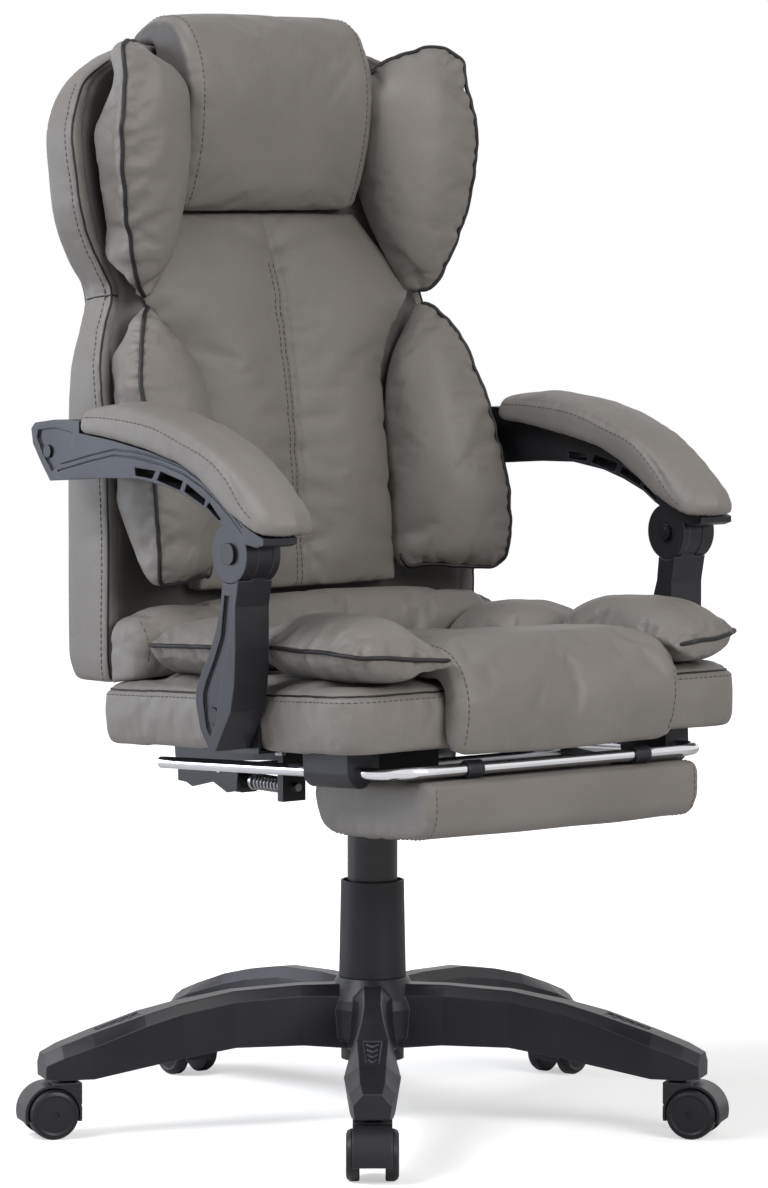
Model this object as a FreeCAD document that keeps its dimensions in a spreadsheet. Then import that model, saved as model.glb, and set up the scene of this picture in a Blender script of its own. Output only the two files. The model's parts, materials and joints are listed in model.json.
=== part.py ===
import FreeCAD, Part
import Sketcher
import math
import os

# Reclining office chair with a slide-out footrest, in millimetres.
# +Z is up, the sitter looks along -Y, the origin is on the floor under the gas column.

V = FreeCAD.Vector
doc = FreeCAD.newDocument("OfficeChair")
sheet = doc.addObject("Spreadsheet::Sheet", "Sizes")

SIZES = [
    ("castor_inset", 26, "end of a leg back to its castor's stem"),
    ("leg_azimuth", 232.18, "direction of the first leg of the star, degrees"),
    ("leg_reach", 346, "column axis to the end of a leg"),
    ("hub_top", 146, "top of the star's hub"),
    ("hub_bottom", 62, "underside of the hub"),
    ("hub_radius", 50, "largest radius of the hub"),
    ("castor_trail", 18.5, "stem axis to wheel axle"),
    ("wheel_radius", 25, "castor wheel"),
    ("wheel_wide", 13, "width of one castor wheel"),
    ("wheel_gap", 24.6, "between the two wheels of a castor"),
    ("axle_radius", 4, "castor axle"),
    ("stem_radius", 5.5, "castor stem"),
    ("fender_wide", 38, "width of a castor's hood"),
    ("hood_top", 55.5, "top of a castor's hood"),
    ("leg_foot", 58.5, "underside of a leg at its castor"),
    ("column_radius", 25.4, "gas lift base tube"),
    ("column_bottom", 58, "lower end of the base tube"),
    ("column_top", 290, "upper end of the base tube"),
    ("cover_low_radius", 34, "column cover at its foot"),
    ("cover_high_radius", 32, "column cover at its lip"),
    ("cover_tall", 98, "height of the column cover"),
    ("cylinder_radius", 14, "gas cylinder"),
    ("cylinder_bottom", 115, "lower end of the gas cylinder"),
    ("cone_bottom", -52, "where the cylinder's taper starts, above the seat's underside"),
    ("cone_top", -14, "top of the cylinder's taper, above the seat's underside"),
    ("rod_radius", 5, "gas lift piston rod"),
    ("pin_radius", 4, "release pin"),
    ("pin_out", 6, "release pin above the taper"),
    ("fit", 0.1, "radial clearance of a running fit"),
    ("seat_height", 394, "underside of the seat cushion above the column"),
    ("seat_tilt", 3, "rise of the seat towards its front, degrees"),
    ("seat_half", 250, "half width of the seat cushion"),
    ("seat_front", 289, "column axis to the front of the seat cushion"),
    ("seat_back", 124, "column axis to the back of the seat cushion"),
    ("seat_seam", 58, "height of the cushion's upper seam"),
    ("seat_crown", 66, "height of the cushion's top"),
    ("board_low", 2, "underside of the seat board above the cushion's underside"),
    ("board_thick", 12, "seat board"),
    ("board_inset", 15, "seat board inside the cushion's outline"),
    ("centre_inset", 110, "side of the seat cushion to its centre pad"),
    ("nose_reach", 321, "column axis to the front of the centre pad"),
    ("pad_top", 101, "top of the centre pad"),
    ("roll_inset", 12, "side of the seat cushion to the end of its rear roll"),
    ("roll_back", 118, "rear face of that roll"),
    ("roll_front", 52, "front of that roll"),
    ("roll_top", 142, "top of that roll"),
    ("plate", 3, "sheet steel of the mechanism"),
    ("housing_half", 38, "half width of the mechanism housing"),
    ("housing_bottom", -56, "underside of the mechanism housing, above the seat's underside"),
    ("socket_radius", 20, "outside of the taper socket"),
    ("lever_radius", 4, "lever rods"),
    ("lever_out", 12, "lever handles beyond the seat cushion's side"),
    ("height_lever_y", -30, "height lever's rod"),
    ("height_lever_z", -32, "height lever's rod, above the seat's underside"),
    ("recline_lever_y", 72, "recline lever's rod"),
    ("recline_lever_z", -34, "recline lever's rod, above the seat's underside"),
    ("hinge_y", 140, "recline hinge"),
    ("hinge_z", 6, "recline hinge, above the seat's underside"),
    ("hinge_x", 138, "middle of the seat's hinge plates"),
    ("hinge_plate", 4, "thickness of the hinge plates"),
    ("hinge_pin", 5, "radius of the recline hinge pin"),
    ("lock_drop", 50, "recline hinge down to the lock rod"),
    ("lock_x", -125, "lock rod's axis"),
    ("lock_rod_radius", 4, "lock rod"),
    ("spring_radius", 7.2, "return spring, to the middle of its wire"),
    ("spring_wire", 1.2, "radius of the spring's wire"),
    ("spring_turns", 9, "turns of the return spring"),
    ("rail_x", 200, "footrest rail beside the column axis"),
    ("rail_z", -20, "footrest rail below the cushion's underside"),
    ("rail_radius", 6, "footrest tube"),
    ("rail_rear", 87, "rear end of the rails"),
    ("bar_y", -290, "footrest cross bar"),
    ("bend_radius", 45, "bend of the footrest tube"),
    ("foot_half", 171, "half width of the footrest pad"),
    ("foot_rear", -122, "rear face of the footrest pad"),
    ("foot_front", -306, "front face of the footrest pad"),
    ("foot_drop", 9.5, "cross bar's axis down to the pad's top"),
    ("foot_thick", 56, "thickness of the footrest pad"),
    ("clip_x", 105, "footrest clips beside the middle"),
    ("guide_rear", -168, "rear end of the rail guides"),
    ("guide_front", -238, "front end of the rail guides"),
    ("guide_radius", 15, "outside of the rail guides"),
    ("arm_gap", 4.5, "seat cushion's side to the inner face of the arms"),
    ("arm_wide", 40, "thickness of struts and rails"),
    ("hub_y", -158, "arm's front pivot"),
    ("hub_z", 201, "arm's front pivot, above the seat's underside"),
    ("drum_radius", 28, "drum of the front pivot"),
    ("tongue_wide", 16.6, "strut's tongue inside the drum"),
    ("foot_pivot_y", -129, "strut's lower pivot"),
    ("foot_pivot_z", 44, "strut's lower pivot, above the seat's underside"),
    ("rear_pivot_y", 149, "arm's rear bolt"),
    ("rear_pivot_z", 287, "arm's rear bolt, above the seat's underside"),
    ("arm_pin", 5, "radius of the arm's pivot bolts"),
    ("pad_in", 24, "armrest pad inward of its rail"),
    ("pad_out", 6, "armrest pad outward of its rail"),
    ("back_bottom", 53, "bottom of the backrest, above the seat's underside"),
    ("back_tall", 641, "height of the backrest's shell"),
    ("back_over", 2, "side of the backrest's shoulders beyond the seat cushion's"),
    ("back_board_thick", 10, "backrest board"),
    ("back_board_inset", 108, "shoulders' side to the side of the backrest board"),
    ("head_half", 118, "half width of the headrest"),
    ("head_low", 170, "lower edge of the headrest below the top of the shell"),
    ("head_high", 30, "top of the headrest above the top of the shell"),
    ("anchor_sink", 13.4, "shoulders' half width to the inside of an arm's anchor plate"),
    ("middle_x", 3.03, "column axis to the middle of the chair's box"),
    ("middle_y", 25.13, "column axis to the middle of the chair's box"),
    ("soft_gap", 0.4, "between soft pieces and their neighbours"),
]
for row, (alias, number, note) in enumerate(SIZES, 1):
    sheet.set(f"A{row}", note)
    sheet.set(f"B{row}", str(number))
    sheet.setAlias(f"B{row}", alias)
doc.recompute()


def mm(name):
    """The number in the sheet's cell with this alias."""
    return float(sheet.get(name))


def above(name):
    """A height that the sheet gives from the seat cushion's underside, as one from the floor."""
    return mm("seat_height") + mm(name)


probe = doc.addObject("App::FeaturePython", "Probe")
probe.addProperty("App::PropertyFloat", "Number")


def worth(term):
    """A number as it is, or the value of an expression on the sheet's cells."""
    if isinstance(term, (int, float)):
        return float(term)
    probe.setExpression("Number", term)
    probe.recompute()
    return probe.Number


NODES = []
TILT = math.radians(mm("seat_tilt"))
SEAT = FreeCAD.Placement(V(0, 0, mm("seat_height")), FreeCAD.Rotation(V(1, 0, 0), -mm("seat_tilt")))
WORLD = FreeCAD.Placement()


def keep(piece, label):
    """Marks an object of the document as a sub-part that is written to its own file."""
    piece.Label = label
    NODES.append(piece)
    return piece


def feature(label, shape, frame=WORLD):
    """A sub-part whose shape is worked out from the sheet's sizes."""
    piece = doc.addObject("Part::Feature", label)
    piece.Shape = shape
    piece.Placement = frame
    return keep(piece, label)


def origin_plane(body, role):
    return next(part for part in body.Origin.OriginFeatures if part.Role == role)


def sketched(body, role, points):
    """A closed outline of straight lines, each corner held by two dimensions from the sheet."""
    sketch = body.newObject("Sketcher::SketchObject", body.Name + "Outline")
    sketch.AttachmentSupport = (origin_plane(body, role), [""])
    sketch.MapMode = "FlatFace"
    corners = [(worth(across), worth(up)) for across, up in points]
    lines = []
    for here, there in zip(corners, corners[1:] + corners[:1]):
        line = Part.LineSegment(V(here[0], here[1], 0), V(there[0], there[1], 0))
        lines.append(sketch.addGeometry(line, False))
    for index, line in enumerate(lines):
        sketch.addConstraint(Sketcher.Constraint("Coincident", lines[index - 1], 2, line, 1))
    for line, corner, terms in zip(lines, corners, points):
        for kind, number, term in zip(("DistanceX", "DistanceY"), corner, terms):
            rule = sketch.addConstraint(Sketcher.Constraint(kind, -1, 1, line, 1, number))
            sketch.setExpression(f"Constraints[{rule}]", str(term))
    return sketch


def turned(label, points, frame=WORLD, kept=True):
    """A body turned about Z from an outline of (radius, height) corners."""
    body = doc.addObject("PartDesign::Body", label)
    sketch = sketched(body, "XZ_Plane", points)
    turn = body.newObject("PartDesign::Revolution", label + "Turn")
    turn.Profile = sketch
    turn.ReferenceAxis = (sketch, ["V_Axis"])
    turn.Angle = 360
    doc.recompute()
    body.Placement = frame
    return keep(body, label) if kept else body


def padded(label, role, points, length, frame=WORLD, kept=True):
    """A body padded to both sides of an origin plane from an outline."""
    body = doc.addObject("PartDesign::Body", label)
    sketch = sketched(body, role, points)
    pad = body.newObject("PartDesign::Pad", label + "Pad")
    pad.Profile = sketch
    pad.Midplane = True
    pad.setExpression("Length", str(length))
    doc.recompute()
    body.Placement = frame
    return keep(body, label) if kept else body


def rod(start, end, radius):
    """A cylinder from one point to another."""
    way = end - start
    return Part.makeCylinder(radius, way.Length, start, way)


def along_x(first, last, y, z, radius):
    return rod(V(first, y, z), V(last, y, z), radius)


def along_z(low, high, x, y, radius):
    return rod(V(x, y, low), V(x, y, high), radius)


def polygon(points):
    return Part.Wire(Part.makePolygon(points + points[:1]).Edges)


def side_plate(points, first, last):
    """A flat piece with a (y, z) outline, from x = first to x = last."""
    face = Part.Face(polygon([V(first, y, z) for y, z in points]))
    return face.extrude(V(last - first, 0, 0))


def mirrored(shape):
    """The same shape on the other side of the chair."""
    return shape.mirror(V(0, 0, 0), V(1, 0, 0))


def joined(shapes):
    whole = shapes[0].multiFuse(shapes[1:])
    return whole.removeSplitter()


def flow(table, place):
    """A row of a table at a place between its rows, on a smooth curve through them."""
    rows = sorted(table)
    if place <= rows[0][0]:
        return list(rows[0][1:])
    if place >= rows[-1][0]:
        return list(rows[-1][1:])
    right = next(index for index, entry in enumerate(rows) if entry[0] >= place)
    left = right - 1
    before, after = max(left - 1, 0), min(right + 1, len(rows) - 1)
    span = rows[right][0] - rows[left][0]
    share = (place - rows[left][0]) / span
    result = []
    for column in range(1, len(rows[0])):
        start, end = rows[left][column], rows[right][column]
        lean_in = (end - rows[before][column]) / (rows[right][0] - rows[before][0]) * span
        lean_out = (rows[after][column] - start) / (rows[after][0] - rows[left][0]) * span
        cube, square = share ** 3, share ** 2
        result.append(
            (2 * cube - 3 * square + 1) * start + (cube - 2 * square + share) * lean_in
            + (3 * square - 2 * cube) * end + (cube - square) * lean_out
        )
    return result


def arc(first, middle, last):
    return Part.Arc(first, middle, last).toShape()


def line(first, last):
    return Part.LineSegment(first, last).toShape()


def loft(wires, ruled=False):
    return Part.makeLoft(wires, True, ruled)


def lens(edge_in, edge_out, ahead, behind, across):
    """A section of a piped pillow: two arcs that meet at its piped edges."""
    middle = (edge_in + edge_out) * 0.5
    return Part.Wire([
        arc(edge_in, middle + across * ahead, edge_out),
        arc(edge_out, middle - across * behind, edge_in),
    ])


def carved(shape, neighbours, gap_way):
    """A soft shape with its neighbours' space taken out of it, each moved by the gap towards it."""
    gap = V(gap_way).normalize() * mm("soft_gap")
    for other in neighbours:
        moved = other.copy()
        moved.translate(gap)
        shape = shape.cut(moved)
    solids = sorted(shape.Solids, key=lambda solid: solid.Volume)
    return solids[-1]


# Star base

CASTOR_CIRCLE = mm("leg_reach") - mm("castor_inset")
BACK_HALF = mm("seat_half") + mm("back_over")

STAR = [(mm("leg_azimuth") + 72 * number) for number in range(5)]


def on_leg(shape, azimuth):
    """A shape drawn along +X turned to a leg's direction."""
    copy = shape.copy()
    copy.rotate(V(0, 0, 0), V(0, 0, 1), azimuth)
    return copy


# Each row: share of the reach, top, underside, half widths at the top, shoulder and foot.
LEG = [
    (0.075, 140, 76, 9, 22, 26),
    (0.23, 141, 81, 8.5, 14, 20),
    (0.43, 138, 81.5, 8.5, 13, 16),
    (0.59, 129, 74, 11.5, 16, 18),
    (0.705, 119.5, 67.5, 15.5, 21, 20),
    (0.86, 103, mm("leg_foot"), 13, 27.5, 22),
    (0.95, 92, mm("leg_foot"), 12, 22.5, 20),
    (1.0, 84, 60, 9, 18.5, 17),
]
LEG_WALL = 4


def leg_section(row, wall):
    share, top, foot, half_top, half_shoulder, half_foot = row
    reach = share * mm("leg_reach")
    shoulder = top - 11
    low = foot - wall
    corners = [
        (-half_foot + wall, low), (half_foot - wall, low),
        (half_shoulder - wall, shoulder), (half_top - wall / 2, top - wall),
        (-half_top + wall / 2, top - wall), (-half_shoulder + wall, shoulder),
    ]
    return polygon([V(reach, across, up) for across, up in corners])


def star_base():
    """The moulded star: a bored hub and five hollow legs with a chevron panel each."""
    leg = loft([leg_section(row, 0) for row in LEG], True)
    hollow = loft([leg_section(row, LEG_WALL) for row in LEG[1:6]], True)
    ribs = [
        Part.makeBox(3, 60, 70, V(CASTOR_CIRCLE * share, -30, 62)) for share in (0.4, 0.55, 0.7)
    ]
    hollow = hollow.cut(Part.makeCompound(ribs))
    leg = leg.cut(hollow)
    slope_start, slope_end = LEG[4], LEG[5]
    run = (slope_end[0] - slope_start[0]) * mm("leg_reach")
    fall = math.degrees(math.atan2(slope_start[1] - slope_end[1], run))
    panel = Part.Face(polygon([V(2, -9, 0), V(run - 4, -6, 0), V(run - 4, 6, 0), V(2, 9, 0)]))
    panel = panel.extrude(V(0, 0, 3))
    panel.translate(V(0, 0, -1.2))
    for number in range(4):
        tip, side = 14 + 11 * number, 6.2 - 0.7 * number
        ridge = Part.Face(polygon([
            V(tip, 0, 0), V(tip - 5, side, 0), V(tip - 6.6, side, 0),
            V(tip - 1.6, 0, 0), V(tip - 6.6, -side, 0), V(tip - 5, -side, 0),
        ]))
        ridge = ridge.extrude(V(0, 0, 3.4))
        ridge.translate(V(0, 0, -2.6))
        panel = panel.cut(ridge)
    panel.rotate(V(0, 0, 0), V(0, 1, 0), fall)
    panel.translate(V(slope_start[0] * mm("leg_reach"), 0, slope_start[1]))
    leg = leg.cut(panel)
    socket = along_z(40, 92, CASTOR_CIRCLE, 0, mm("stem_radius"))
    leg = leg.cut(socket)
    top, low, radius = mm("hub_top"), mm("hub_bottom"), mm("hub_radius")
    neck = mm("column_radius") + 6.5
    hub = Part.Face(polygon([
        V(0, 0, low), V(neck, 0, low), V(neck, 0, low + 18), V(radius - 3, 0, low + 22), V(radius, 0, low + 26),
        V(radius, 0, top - 30), V(radius - 3, 0, top - 21),
        V(mm("cover_low_radius") + 2, 0, top), V(0, 0, top),
    ])).revolve(V(0, 0, 0), V(0, 0, 1), 360)
    star = joined([hub] + [on_leg(leg, azimuth) for azimuth in STAR])
    bore = Part.Face(polygon([
        V(0, 0, low - 20), V(mm("column_radius") - 1 + 0.05, 0, low - 20),
        V(mm("column_radius") + 0.05, 0, top - 20), V(mm("column_radius") + 0.05, 0, top + 20),
        V(0, 0, top + 20),
    ])).revolve(V(0, 0, 0), V(0, 0, 1), 360)
    return star.cut(bore)


feature("star_base", star_base())

# Gas lift

turned("column_cover", [
    ("Sizes.column_radius + 0.5", "Sizes.hub_top + 0.2"),
    ("Sizes.cover_low_radius", "Sizes.hub_top + 0.2"),
    ("Sizes.cover_high_radius", "Sizes.hub_top + Sizes.cover_tall"),
    ("Sizes.cover_high_radius - 2", "Sizes.hub_top + Sizes.cover_tall"),
    ("Sizes.cover_low_radius - 2.2", "Sizes.hub_top + 3.2"),
    ("Sizes.column_radius + 0.5", "Sizes.hub_top + 3.2"),
])
turned("lift_base_tube", [
    ("Sizes.rod_radius + 0.6", "Sizes.column_bottom"),
    ("Sizes.column_radius - 1", "Sizes.column_bottom"),
    ("Sizes.column_radius", "Sizes.hub_top - 20"),
    ("Sizes.column_radius", "Sizes.column_top"),
    ("Sizes.column_radius - 2", "Sizes.column_top"),
    ("Sizes.column_radius - 3", "Sizes.column_bottom + 3"),
    ("Sizes.rod_radius + 0.6", "Sizes.column_bottom + 3"),
])
turned("lift_guide_bush", [
    ("Sizes.cylinder_radius + Sizes.fit", "Sizes.column_top - 80"),
    ("Sizes.column_radius - 3.1", "Sizes.column_top - 80"),
    ("Sizes.column_radius - 2.1", "Sizes.column_top"),
    ("Sizes.column_radius - 0.4", "Sizes.column_top"),
    ("Sizes.column_radius - 0.4", "Sizes.column_top + 3"),
    ("Sizes.cylinder_radius + Sizes.fit", "Sizes.column_top + 3"),
])
turned("piston_rod", [
    (0, "Sizes.column_bottom - 6"),
    ("Sizes.rod_radius", "Sizes.column_bottom - 6"),
    ("Sizes.rod_radius", "Sizes.column_bottom + 10"),
    ("Sizes.rod_radius + 3", "Sizes.column_bottom + 10"),
    ("Sizes.rod_radius + 3", "Sizes.column_bottom + 14"),
    ("Sizes.rod_radius", "Sizes.column_bottom + 14"),
    ("Sizes.rod_radius", "Sizes.cylinder_bottom + 80"),
    ("Sizes.cylinder_radius - 2.2", "Sizes.cylinder_bottom + 80"),
    ("Sizes.cylinder_radius - 2.2", "Sizes.cylinder_bottom + 92"),
    (0, "Sizes.cylinder_bottom + 92"),
])


def thrust_bearing():
    """The washer that the rod turns on, and the clip under the base tube's floor."""
    low, inner = mm("column_bottom"), mm("rod_radius") + 0.05
    washer = along_z(low + 3.2, low + 9.8, 0, 0, 12).cut(along_z(low, low + 12, 0, 0, inner))
    clip = along_z(low - 3.6, low - 0.4, 0, 0, 9).cut(along_z(low - 6, low, 0, 0, inner))
    return Part.makeCompound([washer, clip])


feature("thrust_bearing", thrust_bearing())


def gas_cylinder():
    """The sliding cylinder: an open chamber, a holed foot and a tapered head."""
    outer = Part.Face(polygon([
        V(0, 0, mm("cylinder_bottom")), V(mm("cylinder_radius"), 0, mm("cylinder_bottom")),
        V(mm("cylinder_radius"), 0, above("cone_bottom")),
        V(mm("cylinder_radius") - 1, 0, above("cone_top")), V(0, 0, above("cone_top")),
    ])).revolve(V(0, 0, 0), V(0, 0, 1), 360)
    chamber = along_z(mm("cylinder_bottom") + 12, above("cone_bottom") - 6, 0, 0, mm("cylinder_radius") - 2)
    foot = along_z(mm("cylinder_bottom") - 1, mm("cylinder_bottom") + 13, 0, 0, mm("rod_radius") + mm("fit"))
    valve = along_z(above("cone_top") - 12, above("cone_top") + 1, 0, 0, mm("pin_radius") + mm("fit"))
    return outer.cut(chamber).cut(foot).cut(valve)


feature("gas_cylinder", gas_cylinder())
turned("release_pin", [
    (0, "Sizes.seat_height + Sizes.cone_top - 6"),
    ("Sizes.pin_radius", "Sizes.seat_height + Sizes.cone_top - 6"),
    ("Sizes.pin_radius", "Sizes.seat_height + Sizes.cone_top + Sizes.pin_out - 1"),
    ("Sizes.pin_radius - 1", "Sizes.seat_height + Sizes.cone_top + Sizes.pin_out"),
    (0, "Sizes.seat_height + Sizes.cone_top + Sizes.pin_out"),
])

# Castors

castor_wheel = turned("CastorWheel", [
    ("Sizes.axle_radius + Sizes.fit", "Sizes.wheel_gap / 2"),
    ("Sizes.wheel_radius - 1.2", "Sizes.wheel_gap / 2"),
    ("Sizes.wheel_radius", "Sizes.wheel_gap / 2 + 1.2"),
    ("Sizes.wheel_radius", "Sizes.wheel_gap / 2 + Sizes.wheel_wide - 4.5"),
    ("Sizes.wheel_radius - 1.8", "Sizes.wheel_gap / 2 + Sizes.wheel_wide - 1.2"),
    ("Sizes.wheel_radius - 5", "Sizes.wheel_gap / 2 + Sizes.wheel_wide"),
    ("Sizes.wheel_radius - 7", "Sizes.wheel_gap / 2 + Sizes.wheel_wide - 1"),
    ("Sizes.axle_radius + Sizes.fit", "Sizes.wheel_gap / 2 + Sizes.wheel_wide - 0.4"),
], kept=False)


def castor_parts():
    """A castor's hood and its wheel set, with the stem's axis on Z and the legs' +X outward."""
    trail, radius = mm("castor_trail"), mm("wheel_radius")
    half, web = mm("fender_wide") / 2, mm("wheel_gap") / 2 - 0.6
    top, hood = mm("hood_top"), radius + 4.5
    round_hood = rod(V(trail, -half, radius), V(trail, half, radius), hood)
    round_hood = round_hood.common(Part.makeBox(100, 100, 60, V(-10.5, -50, 17)))
    block = Part.makeBox(trail + 10.5, 2 * half, top - 34, V(-10.5, -half, 34))
    body = round_hood.fuse(block)
    body = body.cut(Part.makeBox(120, 120, 40, V(-60, -60, top)))
    for side in (-1, 1):
        start = V(trail, side * web, radius)
        body = body.cut(rod(start, start + V(0, side * 40, 0), radius + 1.6))
    web_low = rod(V(trail, -web, radius), V(trail, web, radius), 11)
    neck = along_z(top - 1, mm("leg_foot") - 0.4, 0, 0, 9)
    body = joined([body, web_low, neck])
    axis_start = V(trail, -40, radius)
    body = body.cut(rod(axis_start, axis_start + V(0, 80, 0), mm("axle_radius") + mm("fit")))
    body = body.cut(along_z(top - 16, top + 5, 0, 0, mm("stem_radius") + mm("fit")))
    turn = FreeCAD.Placement(V(trail, 0, radius), FreeCAD.Rotation(V(1, 0, 0), -90))
    wheel = castor_wheel.Shape.copy()
    wheel.Placement = turn
    other = wheel.mirror(V(0, 0, 0), V(0, 1, 0))
    reach = mm("wheel_gap") / 2 + mm("wheel_wide") - 2
    axle = rod(V(trail, -reach, radius), V(trail, reach, radius), mm("axle_radius"))
    return body, Part.makeCompound([wheel, other, axle])


hood_shape, wheel_shape = castor_parts()
stems = []
for number, azimuth in enumerate(STAR, 1):
    away = V(math.cos(math.radians(azimuth)), math.sin(math.radians(azimuth)), 0) * CASTOR_CIRCLE
    frame = FreeCAD.Placement(away, FreeCAD.Rotation(V(0, 0, 1), azimuth))
    feature(f"castor_body_{number}", hood_shape, frame)
    feature(f"castor_wheels_{number}", wheel_shape, frame)
    stem = along_z(mm("hood_top") - 14, 91, 0, 0, mm("stem_radius") - 0.05)
    stem.Placement = frame
    stems.append(stem)
feature("castor_stems", Part.makeCompound(stems))

# Seat frame and mechanism


def underside(y):
    """World height of the seat board's underside at this y."""
    return mm("seat_height") + mm("board_low") / math.cos(TILT) - y * math.tan(TILT)


def under(y, drop):
    return (y, underside(y) - drop)


MOUNT_BOLT = mm("seat_half") - 35
SEAT_BOLTS = [
    (-70, -95), (70, -95), (-70, 60), (70, 60), (-118, 30), (118, 30), (-118, 95), (118, 95),
    (-MOUNT_BOLT, -132), (MOUNT_BOLT, -132),
]


def bolt_holes():
    """Clearance holes for the bolts under the seat board, in the world's frame."""
    holes = [along_z(-8, mm("board_low") + 10.5, x, y, 3.2) for x, y in SEAT_BOLTS]
    whole = Part.makeCompound(holes)
    whole.Placement = SEAT
    return whole


def mechanism_housing():
    """A folded steel box with a taper socket, under a flange bolted to the board."""
    half, wall, low = mm("housing_half"), mm("plate"), above("housing_bottom")
    rear, front = 38, -60
    box = side_plate([(front, low), (rear, low), under(rear, 0), under(front, 0)], -half, half)
    inner = side_plate(
        [(front + wall, low + wall), (rear - wall, low + wall), under(rear - wall, wall),
         under(front + wall, wall)], -half + wall, half - wall)
    flange = side_plate([under(-112, wall), under(76, wall), under(76, 0), under(-112, 0)], -85, 85)
    socket = along_z(low, above("cone_top") - 2, 0, 0, mm("socket_radius"))
    body = joined([box.cut(inner), flange, socket])
    radius = mm("cylinder_radius") + 0.05
    taper = Part.Face(polygon([
        V(0, 0, low - 5), V(radius, 0, low - 5), V(radius, 0, above("cone_bottom")),
        V(radius - 1, 0, above("cone_top")), V(0, 0, above("cone_top")),
    ])).revolve(V(0, 0, 0), V(0, 0, 1), 360)
    lever = along_x(-half - 5, half + 5, mm("height_lever_y"), above("height_lever_z"),
                    mm("lever_radius") + mm("fit"))
    return body.cut(taper).cut(lever).cut(bolt_holes())


feature("mechanism_housing", mechanism_housing())


def lever_rod(first, y, z, crank):
    """A straight rod along X, with what it works welded on."""
    shaft = along_x(first, mm("seat_half") + mm("lever_out") - 12, y, z, mm("lever_radius"))
    return joined([shaft, crank])


pin_top = above("cone_top") + mm("pin_out")
height_y, height_z = mm("height_lever_y"), above("height_lever_z")
crank = side_plate([
    (height_y - 4, height_z), (height_y + 4, height_z), (height_y + 4, pin_top + 0.3), (4, pin_top + 0.3),
    (4, pin_top + 3.3), (height_y - 4, pin_top + 3.3),
], -4, 4)
feature("height_lever_rod", lever_rod(-mm("housing_half") - 4, height_y, height_z, crank))
recline_y, recline_z = mm("recline_lever_y"), above("recline_lever_z")
cam = side_plate([
    (recline_y - 10.2, recline_z - 2), (recline_y, recline_z - 3.9), (recline_y, recline_z + 3.9),
    (recline_y - 10.2, recline_z + 2),
], mm("lock_x") - 4, mm("lock_x") + 4)
feature("recline_lever_rod", lever_rod(-mm("hinge_x") - 3, recline_y, recline_z, cam))


def lever_handle(y, z, length):
    """A moulded paddle that reaches forward from the end of its rod."""
    last = mm("seat_half") + mm("lever_out")
    first = last - 38
    outline = [
        (y + 9, z - 3), (y + 9, z + 3), (y + 4, z + 7), (y - 8, z + 7), (y - length * 0.5, z + 5),
        (y - length, z + 3), (y - length, z - 1), (y - length * 0.5, z - 3), (y - 8, z - 7), (y + 4, z - 7),
    ]
    paddle = side_plate(outline, first, last)
    tips = [edge for edge in paddle.Edges
            if abs(edge.Vertexes[0].X - last) < 0.01 and abs(edge.Vertexes[1].X - last) < 0.01]
    paddle = paddle.makeChamfer(1.5, tips)
    hole = along_x(first - 1, last - 11.9, y, z, mm("lever_radius") + 0.02)
    return paddle.cut(hole)


feature("height_lever_handle", lever_handle(height_y, height_z, 76))
feature("recline_lever_handle", lever_handle(recline_y, recline_z, 72))


def recline_bracket():
    """The right seat bracket: a flange under the board, a hinge plate, and the spring's stop."""
    outer = -mm("hinge_x") - mm("hinge_plate") / 2
    inner = outer + mm("hinge_plate")
    y, z = mm("hinge_y"), above("hinge_z")
    edge = mm("seat_back") - mm("board_inset") - 1
    cheek = side_plate([
        under(-36, 0), under(-36, 20), (38, z - 29), (42, z - 60), (58, z - 63), (82, z - 54),
        (118, z - 62), (134, z - 56), (146, z - 38), (151, z), (y + 6, z + 10), (y - 6, z + 11),
        (130, z + 4), (127.5, z - 12),
        under(121, 2.6), under(edge, 2.6), under(edge, 0),
    ], outer, inner)
    eye = along_x(outer, inner, y, z, mm("hinge_pin") + 6)
    flange = side_plate([under(0, 3), under(edge, 3), under(edge, 0), under(0, 0)], outer, -100)
    stop = side_plate([under(-36, 0), (-36, z - 64), (-27, z - 64), under(-27, 0)], outer, -112)
    plain = joined([cheek, eye, flange])
    return joined([plain, stop]), mirrored(plain)


right_bracket, left_bracket = recline_bracket()
lock_z = above("hinge_z") - mm("lock_drop")
drills = [
    bolt_holes(),
    along_x(-200, 200, mm("hinge_y"), above("hinge_z"), mm("hinge_pin") + 0.05),
    along_x(-200, 200, recline_y, recline_z, mm("lever_radius") + mm("fit")),
    rod(V(mm("lock_x"), -60, lock_z), V(mm("lock_x"), 0, lock_z), mm("lock_rod_radius") + mm("fit")),
]
for drill in drills:
    right_bracket = right_bracket.cut(drill)
    left_bracket = left_bracket.cut(drill)
feature("recline_brackets", Part.makeCompound([left_bracket, right_bracket]))


def lock_housing():
    """The clutch block that grips the lock rod, on the right seat bracket."""
    x, face = mm("lock_x"), -mm("hinge_x") + mm("hinge_plate") / 2
    block = Part.makeBox(x + 11 - face, 20, 24, V(face, 41, lock_z - 12))
    grip = rod(V(x, 41, lock_z), V(x, 37, lock_z), 9)
    block = block.makeChamfer(2, [edge for edge in block.Edges if edge.BoundBox.YLength > 19])
    body = joined([block, grip])
    bore = rod(V(x, 0, lock_z), V(x, 90, lock_z), mm("lock_rod_radius") + mm("fit"))
    return body.cut(bore)


feature("lock_housing", lock_housing())

SPRING_REAR, SPRING_FRONT = 27, -26.7


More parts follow.
